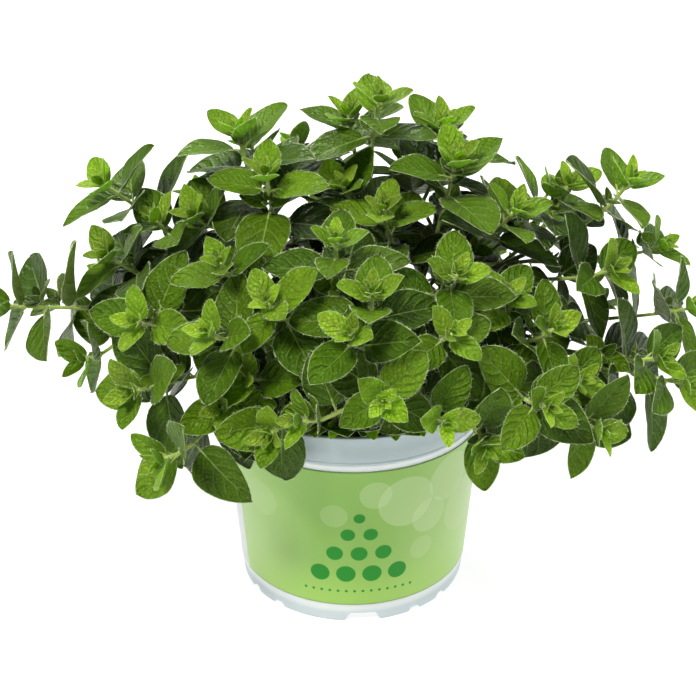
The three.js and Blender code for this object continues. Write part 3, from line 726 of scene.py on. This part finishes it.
def addPetiole(store, leaf, age):
    form, rings = petioleForm, petioleForm["rings"]
    size = min(1, 0.45 + leaf["half"] / 16)
    length = leaf["petiole"] + leaf["blade"] * form["into"]
    places = np.linspace(0, 1, rings)
    x = -form["start"] + (length + form["start"]) * places
    lift = -keelOf(leaf) / 2 - form["sag"] * size + form["arch"] * size * np.sin(pi * places)
    centres = toPlace(leaf, x, 0 * x, lift)
    face = np.array(leaf["face"])
    across = np.cross(np.array(leaf["way"]), face)
    radii = size * (form["thick"] - form["loses"] * places)
    tube(store, centres, [across] * rings, [-face] * rings, radii, [age] * rings, roundCorners)
    random = np.random.default_rng(leaf["seed"] + seedOf["petiole"])
    count = int(leaf["petiole"] / hairForm["petioleEvery"] * 2)
    if count < 1:
        return
    at = random.uniform(0.1, 0.95, count)
    angle = random.uniform(0, 2 * pi, count)
    outward = np.outer(np.cos(angle), across) + np.outer(np.sin(angle), face)
    roots = pointsAlong(centres, places, at) + outward * 0.45 * size
    ways = outward + random.normal(0, 0.2, (count, 3))
    addHairs(store, roots, ways, hairForm["petiole"] * random.uniform(0.5, 1.2, count), leaf["seed"] + 1)


def addStem(store, shoot):
    form = stemBuild
    steps = max(form["fewest"], int(shoot["length"] / form["step"]))
    spots = [curvePoint(shoot["ends"], 1 - i / steps) for i in range(steps + 1)]
    side = shoot["stations"][0]["side"]
    down = 0.0
    rings = []
    for i, spot in enumerate(spots):
        way = (spots[max(i - 1, 0)] - spots[min(i + 1, steps)]).normalized()
        side = square(side, way)
        if i:
            down += (spot - spots[i - 1]).length
        swell = max(exp(-((down - pair["below"]) / form["swellWide"]) ** 2) for pair in shoot["pairs"])
        radius = radiusAt(shoot, down) * (1 + form["swell"] * swell)
        rings.append((spot, side, way.cross(side), radius, down))
    if shoot["kind"] == "main":
        spot, side, other, radius, down = rings[-1]
        rings.append((spot - up * form["sunk"], side, other, radius, down + form["sunk"]))
    centres, sides, others, radii, distances = [np.array(values) for values in zip(*rings)]
    ages = np.clip(distances / form["oldAt"], 0, 1)
    tube(store, centres[::-1], sides[::-1], others[::-1], radii[::-1], ages[::-1], squareCorners)
    # hairs stand off the stem, thick near the tip and worn off lower down
    random = np.random.default_rng(shoot["seed"] + seedOf["stem"])
    reach = min(shoot["length"] - 6, hairForm["stemTo"])
    count = int(reach / hairForm["stemEvery"] * 2.2)
    at = reach * random.uniform(0, 1, count) ** 1.4
    angle = random.uniform(0, 2 * pi, count)
    place, side, other = [pointsAlong(values, distances, at) for values in (centres, sides, others)]
    outward = np.cos(angle)[:, None] * side + np.sin(angle)[:, None] * other
    radius = np.interp(at, distances, radii)[:, None]
    lengths = hairForm["stem"] * random.uniform(0.5, 1.25, count)
    ways = outward + random.normal(0, 0.22, (count, 3))
    addHairs(store, place + outward * radius * 0.78, ways, lengths, shoot["seed"] + seedOf["stemHair"])


# ---- smallest leaves: the closed ones on the tips, and the tufts in the leaf angles ----

# each pair over the first: distance below the tip, petiole, blade, half width, angle from the stem, droop
tipPairs = [(0.2, 0.5, 10, 2.9, 40, 0.06), (-1.2, 0.3, 6.6, 1.9, 27, 0.04), (-2, 0.2, 4, 1.1, 12, 0)]
tipForm = {"turn": 20, "lean": 8, "over": 1.6, "off": 0.3}


def tipLeaves(shoot):
    found = []
    station = shoot["stations"][0]
    axis = station["way"]
    for n, (down, petiole, blade, half, angle, droop) in enumerate(tipPairs):
        for hand in range(2):
            seed = shoot["seed"] * 40 + seedOf["tip"] + n * 4 + hand
            turn = radians((n + 1) % 2 * 90 + hand * 180 + (draw(seed, 1) - 0.5) * tipForm["turn"])
            lean = radians(angle + (draw(seed, 2) - 0.5) * tipForm["lean"])
            out, way, face = turnLeaf(axis, station["side"], station["other"], turn, lean)
            size = shoot["size"] * (0.92 + 0.16 * draw(seed, 3))
            root = station["point"] + axis * (tipForm["over"] - down) + out * tipForm["off"]
            sizes = (petiole * size, blade * size, half * size)
            found.append(dict(zip(leafColumns, (root, way, face, *sizes, droop, seed, -1 - n))))
    return found


cell = 3.0
taken = {}
# how far added leaves stay off the band, off and over the rim, and how low they may hang
keepOff = {"band": 2, "rim": 4, "above": 1.5, "hang": 42}


def leafSamples(leaf):
    s, t = np.meshgrid([0.08, 0.25, 0.42, 0.6, 0.78, 0.93], [-0.9, -0.45, 0, 0.45, 0.9])
    s, t = s.ravel(), t.ravel()
    return toPlace(leaf, *bladePoints(leaf, s, t, np.zeros(len(s))))


def remember(points, owner):
    for p in points:
        taken.setdefault(tuple(np.floor(p / cell).astype(int)), []).append((p, owner))


def isFree(points, owner, guard):
    for p in points:
        x, y, z = np.floor(p / cell).astype(int)
        for i, j, k in product((-1, 0, 1), repeat=3):
            for q, who in taken.get((x + i, y + j, z + k), ()):
                if who != owner and ((p - q) ** 2).sum() < guard * guard:
                    return False
    return True


def clearOfPot(points):
    x, y, z = points.T
    r = np.hypot(x, y)
    within = wallRadius(potForm["bandBase"]) - keepOff["band"]
    beyond = wallRadius(potForm["height"]) + keepOff["rim"]
    overRim = (r > within) & (r < beyond) & (z < potForm["height"] + keepOff["above"])
    inSoil = (r <= within) & (z < soilForm["crown"] + keepOff["above"])
    tooLow = (r >= within) & (z < keepOff["hang"])
    degrees = np.degrees(np.arctan2(x, -y))
    lowest = view["below"] + view["rise"] * np.maximum(0, -y - potForm["footRadius"])
    hides = (z < lowest) & (degrees > view["from"]) & (degrees < view["to"])
    return not (overRim | inSoil | tooLow | hides).any()


for index, shoot in enumerate(shoots):
    for leaf in shoot["leaves"]:
        remember(leafSamples(leaf), (index, leaf["level"]))
    for k in range(0, int(shoot["length"]), 3):
        point, _ = below(shoot["path"], k)
        remember([np.array(point)], (index, "stem"))

# small leaves in the leaf angles: two pairs on a short stalk
tufts = {
    "from": 1, "share": 0.95, "blade": (6, 12), "stalk": (1.5, 7), "guard": 1.4, "more": 1.35,
    "pairs": ((56, 1.0), (34, 0.62)), "petiole": 0.8, "half": 0.34, "droop": 0.08,
}
# leaves hang no lower in front of the label, in degrees, and are higher the farther out they hang
view = {"from": -14, "to": 26, "below": 90, "rise": 0.6}
# young shoots from the base: an outer row leans over the rim, an inner one stands over the soil
sproutRows = [
    {
        "count": 12, "azimuth": (-165, -15), "foot": 46, "reach": (50, 54), "rise": (19, 23),
        "elevation": (58, 74), "roll": (75, 105), "size": (0.8, 1.05),
    },
    {
        "count": 6, "azimuth": (-122, -58), "foot": 50, "reach": (58, 61), "rise": (13, 17),
        "elevation": (8, 26), "roll": (75, 105), "size": (0.85, 1.05),
    },
    {
        "count": 7, "azimuth": (-130, -50), "foot": 36, "reach": (38, 44), "rise": (15, 20),
        "elevation": (60, 80), "roll": (0, 90), "size": (0.7, 0.9),
    },
]


# keeps a place for a leaf if it is clear there, apart from what it grows on
def claim(samples, growsOn, guard, owner):
    clear = clearOfPot(samples) and isFree(samples, growsOn, guard)
    if clear:
        remember(samples, owner)
    return clear


def growSprout(row, n, seed):
    azimuth = between(row["azimuth"], (n + 0.3 + 0.4 * draw(seed, 41)) / row["count"])
    out = heading(azimuth, 0)
    foot = out * row["foot"] + up * soilForm["edge"]
    names = ("reach", "rise", "elevation", "roll", "size")
    drawn = {name: between(row[name], draw(seed, 42 + i)) for i, name in enumerate(names)}
    tip = out * drawn["reach"] + up * (soilForm["edge"] + drawn["rise"])
    mains = [shoot for shoot in shoots if shoot["kind"] == "main"]
    nearest = min(mains, key=lambda shoot: (shoot["foot"] - foot).length)
    row = {**drawn, "tip": tip, "azimuth": azimuth, "node": nearest["node"]}
    sprout = growShoot(row, seed, "sprout", foot, up)

    def isClear(leaf):
        owner = (len(shoots), leaf["level"])
        return claim(leafSamples(leaf), owner, tufts["guard"], owner)

    fillPairs(sprout, isClear)
    return sprout


longShoots = len(shoots)
for k, row in enumerate(sproutRows):
    for n in range(row["count"]):
        shoots.append(growSprout(row, n, seedOf["sprout"] + 50 * k + n))
print("leaves of the sprouts:", [len(shoot["leaves"]) for shoot in shoots[longShoots:]])

# leaves that the solids leave out: lower down on long shoots, dark and a little worn
lowerPairs = {
    "every": 14, "blade": (19, 28), "angle": (70, 100), "droop": (0.1, 0.3), "petiole": 4.5,
    "half": (0.3, 0.35), "off": 0.9, "turn": 0.7, "guard": 2.3, "foot": 10, "tries": 12,
    "shrink": 0.5, "loose": 30, "looser": 13,
}
for index, shoot in enumerate(shoots):
    shoot["lower"] = []
    down = shoot["pairs"][-1]["below"] + lowerPairs["every"]
    number = len(shoot["pairs"])
    while down < shoot["length"] - lowerPairs["foot"]:
        point, axis = below(shoot["path"], down)
        side = square(shoot["stations"][0]["side"], axis)
        for hand in range(2):
            for attempt in range(lowerPairs["tries"]):
                seed = shoot["seed"] * 40 + seedOf["lower"] + number * 200 + hand * 50 + attempt
                spans = [lowerPairs[name] for name in ("blade", "angle", "droop")]
                blade, angle, droop = [between(span, draw(seed, n)) for n, span in enumerate(spans)]
                scale = 1 - lowerPairs["shrink"] * attempt / lowerPairs["tries"]
                loose = lowerPairs["loose"] + lowerPairs["looser"] * attempt
                turn = number % 2 * 90 + hand * 180 + (draw(seed, 4) - 0.5) * loose
                turned = (axis, side, axis.cross(side), radians(turn))
                root = point + turnLeaf(*turned, 0)[0] * lowerPairs["off"]
                _, way, face = turnLeaf(*turned, radians(angle), lightAt(root) * lowerPairs["turn"])
                blade *= scale
                half = blade * between(lowerPairs["half"], draw(seed, 31))
                sizes = (lowerPairs["petiole"] * scale, blade, half)
                leaf = dict(zip(leafColumns, (root, way, face, *sizes, droop, seed, number)))
                if claim(leafSamples(leaf), (index, "stem"), lowerPairs["guard"], (index, number)):
                    shoot["lower"].append(leaf)
                    break
        down += lowerPairs["every"]
        number += 1
print("lower leaves:", sum(len(shoot["lower"]) for shoot in shoots))

for index, shoot in enumerate(shoots):
    shoot["tufts"] = []
    for leaf in shoot["leaves"] + shoot["lower"]:
        seed = leaf["seed"] + seedOf["tuft"]
        if leaf["level"] < tufts["from"] or draw(seed, 1) > tufts["share"]:
            continue
        grown = 1 if leaf["level"] < 3 else tufts["more"]
        axis = (leaf["way"] * 0.7 + square(up, leaf["way"]) * 0.8 + leaf["face"] * 0.9).normalized()
        base = leaf["root"] + leaf["face"] * 0.4
        tip = base + axis * (between(tufts["stalk"], draw(seed, 2)) * grown)
        side = square(leaf["way"].cross(leaf["face"]), axis)
        other = axis.cross(side)
        small = []
        for (n, (angle, share)), hand in product(enumerate(tufts["pairs"]), range(2)):
            lean = radians(angle + (draw(seed + n, 4 + hand) - 0.5) * 16)
            _, way, face = turnLeaf(axis, side, other, radians(n * 90 + hand * 180), lean)
            long = between(tufts["blade"], draw(seed, 3)) * grown * share
            long *= 0.9 + 0.2 * draw(seed + n, 6 + hand)
            sizes = (tufts["petiole"], long, long * tufts["half"])
            row = (tip + axis * (0.4 * n), way, face, *sizes, tufts["droop"], seed + n * 2 + hand, 0)
            small.append(dict(zip(leafColumns, row)))
        samples = np.concatenate([leafSamples(one) for one in small[:2]])
        if claim(samples, (index, "stem"), tufts["guard"], (index, "tuft")):
            shoot["tufts"].append({"base": base, "tip": tip, "side": side, "other": other, "leaves": small})
print("tufts:", sum(len(shoot["tufts"]) for shoot in shoots))


# ---- build the stems, one object for each node that it stands for ----

levelAge = (0.12, 0.3, 0.5, 0.66, 0.78)  # of the pairs from the tip down
stores = {}
for shoot in shoots:
    store = stores.setdefault(shoot["node"], newStore())
    addStem(store, shoot)
    for leaf in tipLeaves(shoot):
        addBlade(store, leaf, max(0.0, 0.05 + 0.02 * leaf["level"]))
    for leaf in shoot["leaves"]:
        age = min(1, levelAge[leaf["level"]] + 0.16 * (draw(leaf["seed"], 27) - 0.5))
        addBlade(store, leaf, age)
        addPetiole(store, leaf, 0.1 + 0.3 * age)
    for leaf in shoot["lower"]:
        addBlade(store, leaf, min(1, 0.84 + 0.2 * draw(leaf["seed"], 27)), hairs=False)
        addPetiole(store, leaf, 0.45)
    for tuft in shoot["tufts"]:
        base, tip, side, other = [np.array(tuft[name]) for name in ("base", "tip", "side", "other")]
        tube(store, [base, tip], [side] * 2, [other] * 2, [0.5, 0.4], [0.2, 0.1], roundCorners)
        for leaf in tuft["leaves"]:
            addBlade(store, leaf, 0.22 + 0.2 * draw(leaf["seed"], 27))
total = 0
for node, store in stores.items():
    piece = makeObject("leafyStem" + node[-2:], store, plantMaterials)
    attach(piece, "root")
    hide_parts(node)
    total += len(piece.data.polygons)
print("stem pieces:", len(stores), "triangles:", total)


# ---- pot ----

# Polypropylene, thin and injection moulded: white with a cool cast, half matt, a little light passes; the blue
# grey band, the blue grey foot and the darker grey inside the foot ring are painted shade
potLook = {
    "colour": "#EEF3F4", "shade": "#E8EFF1", "band": "#AEBCC1", "foot": "#C9D5DA", "under": "#87949A",
    "roughness": (0.31, 0.45), "ior": 1.49, "scatter": 0.25, "reach": (0.004, 0.004, 0.0045),
    "ripple": 9, "fine": 0.8,
}
# cuts in the foot's lower edge: how wide and deep each is, and how wide its slopes are
potCuts = {
    "count": 4, "first": -85, "footHigh": 6, "notch": (12, 4.4, 2), "nick": (4, 2, 1),
    "nickAfter": (27.5, 45.5),
}


def potSurface(add, look):
    place = add("TexCoord").outputs["Object"]
    x, y, height = add("SeparateXYZ", {}, place).outputs
    radius = add("VectorMath", {"operation": "LENGTH"}, add("CombineXYZ", {}, x, y))
    cloud, fine = [
        add("TexNoise", {"Scale": 1 / (look[name] * mm), "Detail": 2, "Vector": place})
        for name in ("ripple", "fine")
    ]
    share = add("MapRange", {}, cloud, 0.35, 0.7)
    colour = add("Mix", colours | {0: share, 6: look["colour"], 7: look["shade"]})
    # painted shade: blue grey on the band under the leaves, blue grey on the foot below the floor, darker grey
    # inside the foot ring
    high = add("MapRange", {}, height, (potForm["bandBase"] - 1) * mm, potForm["bandBase"] * mm)
    low = add("MapRange", {}, height, potForm["floorTop"] * mm, (potForm["floorTop"] - 3) * mm)
    within = (potForm["footRadius"] - potForm["wall"] / 2) * mm
    under = add("Math", times, add("MapRange", {}, radius, within, within - 0.3 * mm), low)
    for name, share in (("band", high), ("foot", low), ("under", under)):
        colour = add("Mix", colours | {0: share, 6: colour, 7: look[name]})
    rough = add("MapRange", {}, fine, 0.3, 0.7, *look["roughness"])
    bump = add("Bump", {"Strength": 0.12, "Distance": 0.15 * mm, "Height": fine})
    finish = finishOf(look) | {"Roughness": rough, "Subsurface Scale": 1}
    return add("BsdfPrincipled", {"Base Color": colour, "Normal": bump, **finish})


def footRise(degrees):
    rise = 0.0
    for i in range(potCuts["count"]):
        first = potCuts["first"] + i * 360 / potCuts["count"]
        nicks = [(first + turn, *potCuts["nick"]) for turn in potCuts["nickAfter"]]
        for at, wide, deep, slope in [(first, *potCuts["notch"]), *nicks]:
            off = abs((degrees - at + 180) % 360 - 180) * pi / 180 * potForm["footRadius"]
            rise = max(rise, deep * min(1, max(0, (wide / 2 + slope - off) / slope)))
    return rise


sharpFrom = 40  # degrees between two faces


def sharpen(piece):
    bpy.context.view_layer.objects.active = piece
    for o in bpy.context.selected_objects:
        o.select_set(False)
    piece.select_set(True)
    bpy.ops.object.shade_smooth_by_angle(angle=radians(sharpFrom))
    piece.select_set(False)


# radius and height of each corner of the turned section: floor, foot, wall, band and lip, then the inside
def potProfile():
    p, wall = potForm, wallRadius
    base, top = p["bandBase"], p["height"]
    lipBase, inner = top - p["lipHeight"], p["floorTop"]
    under = inner - p["floorThick"]

    def inside(z):
        return wall(z) - p["wall"]

    def band(z):
        return wall(z) + p["bandStep"]

    def lip(z):
        return band(z) + p["lip"]

    return [
        (inside(under) * 0.5, under), (inside(under) - 0.6, under), (inside(under), under - 0.6),
        (inside(0) + 0.1, 0.15), (inside(0) + 0.3, 0), (wall(0) - 0.25, 0), (wall(0), 0.25), (wall(2), 2),
        (wall(6), 6), (wall(9), 9), (wall(9.2) + 0.12, 9.2), (wall(9.6) + 0.12, 9.6), (wall(9.8), 9.8),
        (wall(30), 30), (wall(55), 55), (wall(base - 0.3), base - 0.3), (wall(base) + 0.2, base),
        (band(base + 0.5) - 0.2, base + 0.45), (band(base + 0.8), base + 0.8), (band(base + 1.6), base + 1.6),
        (band(base + 1.75) - 0.12, base + 1.8), (band(base + 2.0), base + 2.05), (band(base + 7), base + 7),
        (band(lipBase - 0.2), lipBase - 0.2), (band(lipBase) + 0.2, lipBase + 0.05),
        (lip(lipBase) - 0.1, lipBase + 0.3), (lip(lipBase), lipBase + 0.6),
        (lip(top), top - 0.4), (lip(top) - 0.2, top - 0.08), (lip(top) - 0.5, top),
        (band(top) - p["wall"] + 0.35, top), (band(top) - p["wall"] + 0.08, top - 0.1),
        (band(top) - p["wall"], top - 0.4), (band(base) - p["wall"], base + 1.4),
        (inside(base), base - 0.4), (inside(40), 40), (inside(inner + 0.8), inner + 0.8),
        (inside(inner) - 0.8, inner), (inside(inner) * 0.5, inner),
    ]


def makePot():
    store = newStore()
    profile, turns, high = potProfile(), potForm["turns"], potCuts["footHigh"]
    points = []
    for r, z in profile:
        for i in range(turns):
            degrees = 360 * i / turns
            lift = footRise(degrees) * (1 - z / high) if z < high and r > potForm["footRadius"] / 2 else 0
            points.append((r * cos(radians(degrees)), r * sin(radians(degrees)), z + lift))
    points += [(0, 0, profile[0][1]), (0, 0, profile[-1][1])]
    addPatch(store, points, tubeFaces(len(profile), turns), 0)
    return makeObject("potShell", store, [newMaterial("polypropyleneMoulded", potSurface, potLook)])


shell = makePot()
sharpen(shell)
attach(shell, "root")
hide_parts("pot")
print("pot made")


# ---- printed sleeve round the pot ----

# Polypropylene film, printed and wrapped: satin, leaf green field that pales to the sides, with a
# stack of plain dots, a fine dotted line under it, and pale rounds behind
sleeveForm = {
    "bottom": 10, "top": 83.5, "from": -63, "to": 120, "inner": 0.04, "outer": 0.42, "steps": 190, "rows": 10,
    "uvWide": 400, "uvHigh": 100, "uvLevel": 47,
}
sleeveLook = {
    "middle": "#8BB858", "side": "#B8DB8A", "high": "#95C262", "low": "#ACD864", "far": "#C3DFA2",
    "rounds": "#CFE3B0", "edge": "#5F8F3C", "dots": "#0E8A16", "roughness": 0.34, "specular": 0.3, "ior": 1.49,
    "coat": 0.05, "coatRough": 0.2, "grain": 0.6, "slack": 24,
}
# centre across and up, radius and share, in mm from the front and from the ground
paleRounds = [
    (24, 65, 13, 0.35), (36, 54, 9, 0.32), (10, 71, 7, 0.28), (47, 70, 12, 0.35), (-8, 60, 6, 0.2),
    (33, 37, 6, 0.2), (60, 49, 14, 0.3), (-44, 60, 9, 0.15), (84, 65, 12, 0.3), (100, 43, 14, 0.3),
]
# height, number, radius and pitch of each row of dots
dotRows = [(28, 4, 4.5, 12.0), (39.5, 3, 3.8, 11.0), (50, 2, 3.2, 10.0), (59, 1, 2.5, 1.0), (18, 14, 0.7, 3.9)]
dotMiddle = 3


def sleeveSurface(add, look):
    form = sleeveForm
    across, upward, _ = add("SeparateXYZ", {}, add("UVMap", {"uv_map": "bladeUv"})).outputs
    x = add("Math", timesPlus, across, form["uvWide"], -form["uvWide"] / 2)
    z = add("Math", times, upward, form["uvHigh"])
    spot = add("CombineXYZ", {}, x, z)
    fromMiddle = add("Math", absolute, add("Math", minus, z, (form["bottom"] + form["top"]) / 2))
    half = (form["top"] - form["bottom"]) / 2

    # each layer of ink: what it fades with, from where to where, its share there, and its colour
    layers = [
        (add("Math", absolute, x), 8, 60, 0, 1, "side"), (z, 52, 86, 0, 0.5, "high"),
        (z, 12, 38, 0.5, 0, "low"), (x, 48, 96, 0, 0.8, "far"),
    ]
    spots = [(cx, cz, radius, 0.25, share, "rounds") for cx, cz, radius, share in paleRounds]
    for height, number, radius, pitch in dotRows:
        for k in range(number):
            spots.append((dotMiddle + (k - (number - 1) / 2) * pitch, height, radius, 0.15, 1, "dots"))
    for cx, cz, radius, blur, share, name in spots:
        away = add("VectorMath", {"operation": "DISTANCE", 1: (cx, cz, 0)}, spot)
        layers.append((away, radius - blur, radius + blur, share, 0, name))
    layers.append((fromMiddle, half - 0.7, half - 0.2, 0, 0.7, "edge"))
    colour = look["middle"]
    for source, low, high, start, end, name in layers:
        share = add("MapRange", soft, source, low, high, start, end)
        colour = add("Mix", colours | {0: share, 6: colour, 7: look[name]})

    place = add("TexCoord").outputs["Object"]
    grain = add("TexNoise", {"Scale": 1 / (look["grain"] * mm), "Detail": 2, "Vector": place})
    slack = add("TexNoise", {"Scale": 1 / (look["slack"] * mm), "Detail": 1, "Vector": place})
    relief = add("Math", timesPlus, grain, 0.06, slack)
    bump = add("Bump", {"Strength": 0.25, "Distance": 0.5 * mm, "Height": relief})
    return add("BsdfPrincipled", {"Base Color": colour, "Normal": bump, **finishOf(look)})


def makeSleeve():
    form = sleeveForm
    store = newStore()
    rows, steps = form["rows"], form["steps"]
    levels = [form["bottom"] + (form["top"] - form["bottom"]) * k / rows for k in range(rows + 1)]
    # up the inside and down the outside, then at each end the middle of the cut edge
    section = [(z, form["inner"]) for z in levels] + [(z, form["outer"]) for z in levels[::-1]]
    middle = [((form["bottom"] + form["top"]) / 2, (form["inner"] + form["outer"]) / 2)]
    rings = [(i, section) for i in range(steps + 1)] + [(0, middle), (steps, middle)]
    points, uv = [], []
    for i, ring in rings:
        degrees = between((form["from"], form["to"]), i / steps)
        out = heading(degrees - 90, 0)
        for z, off in ring:
            points.append(out * (wallRadius(z) + off) + Vector((0, 0, z)))
            across = radians(degrees) * wallRadius(form["uvLevel"]) / form["uvWide"] + 0.5
            uv.append((across, z / form["uvHigh"]))
    addPatch(store, points, tubeFaces(steps + 1, len(section)), 0, uv)
    return makeObject("potSleeve", store, [newMaterial("polypropyleneFilmPrinted", sleeveSurface, sleeveLook)])


sleeve = makeSleeve()
sharpen(sleeve)
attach(sleeve, "root")
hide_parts("label")
print("sleeve made")


# ---- potting soil ----

# Peat with a little perlite, sieved and watered: near black, rough, crumbs of 1 to 4 mm
soilLook = {
    "dark": "#1E1510", "light": "#4A3626", "perlite": "#D8D4C8", "crumb": 2.2,
    "roughness": 0.95, "specular": 0.25,
}
crumbs = {"count": 900, "perlite": 32, "size": (0.5, 1.9)}


def soilSurface(add, look):
    place = add("TexCoord").outputs["Object"]
    tint, age = [add("Attribute", {"attribute_name": name}).outputs["Fac"] for name in ("tint", "age")]
    clump = add("TexNoise", {"Scale": 1 / (look["crumb"] * mm), "Detail": 5, "Roughness": 0.7, "Vector": place})
    share = add("Math", times, add("MapRange", {}, clump, 0.35, 0.75), tint)
    colour = add("Mix", colours | {0: share, 6: look["dark"], 7: look["light"]})
    return add("BsdfPrincipled", {
        "Base Color": add("Mix", colours | {0: age, 6: colour, 7: look["perlite"]}),
        "Normal": add("Bump", {"Strength": 0.9, "Distance": 0.8 * mm, "Height": clump}), **finishOf(look),
    })


def soilHeight(x, y):
    past = max(0, hypot(x, y) - soilForm["crownRadius"])
    flat = soilForm["crown"] + (soilForm["edge"] - soilForm["crown"]) * past / soilForm["slope"]
    swell = 0.5 * sin(x * 0.31 + 1.3 * sin(y * 0.23)) * cos(y * 0.27 + x * 0.11)
    return flat + swell + 0.25 * sin(x * 0.9) * sin(y * 0.8)


def makeSoil():
    store = newStore()
    rings, turns, gap = soilForm["rings"], soilForm["turns"], potForm["wall"] + 0.35
    outer = wallRadius(soilForm["edge"]) - gap
    bottom = potForm["floorTop"] + 0.3
    low = wallRadius(bottom) - gap
    points = []
    for i in range(1, rings + 2):
        for k in range(turns):
            r = outer * i / rings if i <= rings else low
            x, y = r * cos(2 * pi * k / turns), r * sin(2 * pi * k / turns)
            points.append((x, y, soilHeight(x, y) if i <= rings else bottom))
    points += [(0, 0, soilHeight(0, 0)), (0, 0, bottom)]
    addPatch(store, points, tubeFaces(rings + 1, turns)[:, ::-1], 0, tint=0.6)

    # crumbs lie half sunk in the surface, each one a lumpy ball of twenty faces
    random = np.random.default_rng(31)
    g = (1 + 5 ** 0.5) / 2
    signs = ((-1, 1), (1, 1), (-1, -1), (1, -1))
    corners = [[(a, b * g, 0), (0, a, b * g), (b * g, 0, a)] for a, b in signs]
    ball = np.array(corners).swapaxes(0, 1).reshape(-1, 3) / hypot(1, g)
    faces = [
        (0, 11, 5), (0, 5, 1), (0, 1, 7), (0, 7, 10), (0, 10, 11), (1, 5, 9), (5, 11, 4), (11, 10, 2),
        (10, 7, 6), (7, 1, 8), (3, 9, 4), (3, 4, 2), (3, 2, 6), (3, 6, 8), (3, 8, 9), (4, 9, 5), (2, 4, 11),
        (6, 2, 10), (8, 6, 7), (9, 8, 1),
    ]
    for n in range(crumbs["count"] + crumbs["perlite"]):
        r = (outer - 2) * sqrt(random.uniform())
        a = random.uniform(0, 2 * pi)
        x, y = r * cos(a), r * sin(a)
        size = between(crumbs["size"], random.uniform() ** 2)
        lumps = ball * size * random.uniform(0.65, 1.25, (12, 1))
        lumps *= np.array([1, random.uniform(0.6, 1), random.uniform(0.5, 0.9)])
        spin = random.uniform(0, 2 * pi)
        c, s = cos(spin), sin(spin)
        turned = lumps @ np.array([[c, s, 0], [-s, c, 0], [0, 0, 1]])
        spot = np.array([x, y, soilHeight(x, y) + size * 0.15])
        addPatch(store, turned + spot, faces, 0, age=float(n >= crumbs["count"]), tint=random.uniform(0.2, 1))
    return makeObject("pottingSoil", store, [newMaterial("peatSieved", soilSurface, soilLook)])


soil = makeSoil()
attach(soil, "root")
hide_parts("soil")
print("soil made")


# ---- studio ----

# Acrylic, opal sheet: white, matt, no visible grain; it glows as painted light, weaker near the pot and
# stronger farther out, so that it reads pure white
studio = {
    "floor": "#A0A2A2", "floorShade": "#9A9C9C", "patch": 180, "size": 8, "tent": (0.11, 0.34),
    "glow": (0.8, 1.1), "glowFrom": (0.1, 0.5), "roughness": 0.9, "specular": 0.1,
}


def floorSurface(add, look):
    place = add("TexCoord").outputs["Object"]
    noise = add("TexNoise", {"Scale": 1 / (look["patch"] * mm), "Detail": 1, "Vector": place})
    share = add("MapRange", {}, noise, 0.3, 0.7, 0, 0.4)
    # painted light: the floor glows, weaker near the pot and stronger farther out
    away = add("VectorMath", {"operation": "LENGTH"}, place)
    return add("BsdfPrincipled", {
        "Base Color": add("Mix", colours | {0: share, 6: look["floor"], 7: look["floorShade"]}),
        "Emission Color": "#FFFFFF", **finishOf(look),
        "Emission Strength": add("MapRange", soft, away, *look["glowFrom"], *look["glow"]),
    })


def makeFloor():
    mesh = bpy.data.meshes.new("studioFloor")
    far = studio["size"]
    mesh.from_pydata([(-far, -far, 0), (far, -far, 0), (far, far, 0), (-far, far, 0)], [], [(0, 1, 2, 3)])
    mesh.materials.append(newMaterial("acrylicOpal", floorSurface, studio))
    made = bpy.data.objects.new("studioFloor", mesh)
    bpy.context.scene.collection.objects.link(made)


def makeWorld():
    world = bpy.data.worlds.new("studioWorld")
    bpy.context.scene.world = world
    world.use_nodes = True
    world.node_tree.nodes.clear()
    add = partial(addNode, world.node_tree)
    # a soft tent round the plant, dim in front and bright behind, before a backdrop lit to pure white
    seen = add("LightPath").outputs["Is Camera Ray"]
    toward = add("SeparateXYZ", {}, add("TexCoord").outputs["Generated"]).outputs[1]
    power = add("MapRange", soft, toward, -0.2, 0.9, *studio["tent"])
    tent, backdrop = [add("Background", {"Color": "#FFFFFF", "Strength": level}) for level in (power, 1)]
    add("OutputWorld", {"Surface": add("MixShader", {}, seen, tent, backdrop)})


# place and aim in metres, size, watts and colour of each soft box
softBoxes = [
    ("keyBox", (-0.62, -0.78, 1.55), (0, 0, 0.13), 0.42, 32, "#FFFCF2"),
    ("topBox", (0.25, 0.1, 1.6), (0, 0, 0.13), 0.6, 12, "#FFFFFF"),
    ("sideBox", (1.25, -0.15, 0.9), (0, 0, 0.13), 0.5, 7, "#FBFFF6"),
    ("backBox", (-0.3, 0.95, 0.85), (0, 0, 0.15), 0.35, 7, "#FFFFFF"),
]


def makeLights():
    for name, place, aim, size, power, colour in softBoxes:
        light = bpy.data.lights.new(name, "AREA")
        light.shape = "SQUARE"
        light.size = size
        light.energy = power
        light.color = hexToLinear(colour)[:3]
        made = bpy.data.objects.new(name, light)
        made.location = place
        made.rotation_euler = (Vector(aim) - Vector(place)).to_track_quat("-Z", "Y").to_euler()
        bpy.context.scene.collection.objects.link(made)


# height, distance and pitch of the lens, focal length in frame widths, and how far the frame is shifted
cameraForm = {
    "y": -0.536, "z": 0.375, "pitch": 0.454, "focal": 1300 / 696, "shift": -4.4 / 696, "sensor": 36,
}


def makeCamera():
    camera = bpy.data.cameras.new("studioCamera")
    camera.sensor_width = cameraForm["sensor"]
    camera.lens = cameraForm["focal"] * cameraForm["sensor"]
    camera.shift_x = cameraForm["shift"]
    camera.clip_start = 0.01
    made = bpy.data.objects.new("studioCamera", camera)
    made.location = (0, cameraForm["y"], cameraForm["z"])
    made.rotation_euler = (pi / 2 - cameraForm["pitch"], 0, 0)
    bpy.context.scene.collection.objects.link(made)
    bpy.context.scene.camera = made


makeFloor()
makeWorld()
makeLights()
makeCamera()
bpy.context.scene.view_settings.view_transform = "Standard"
bpy.context.scene.cycles.use_denoising = True
print("studio made")
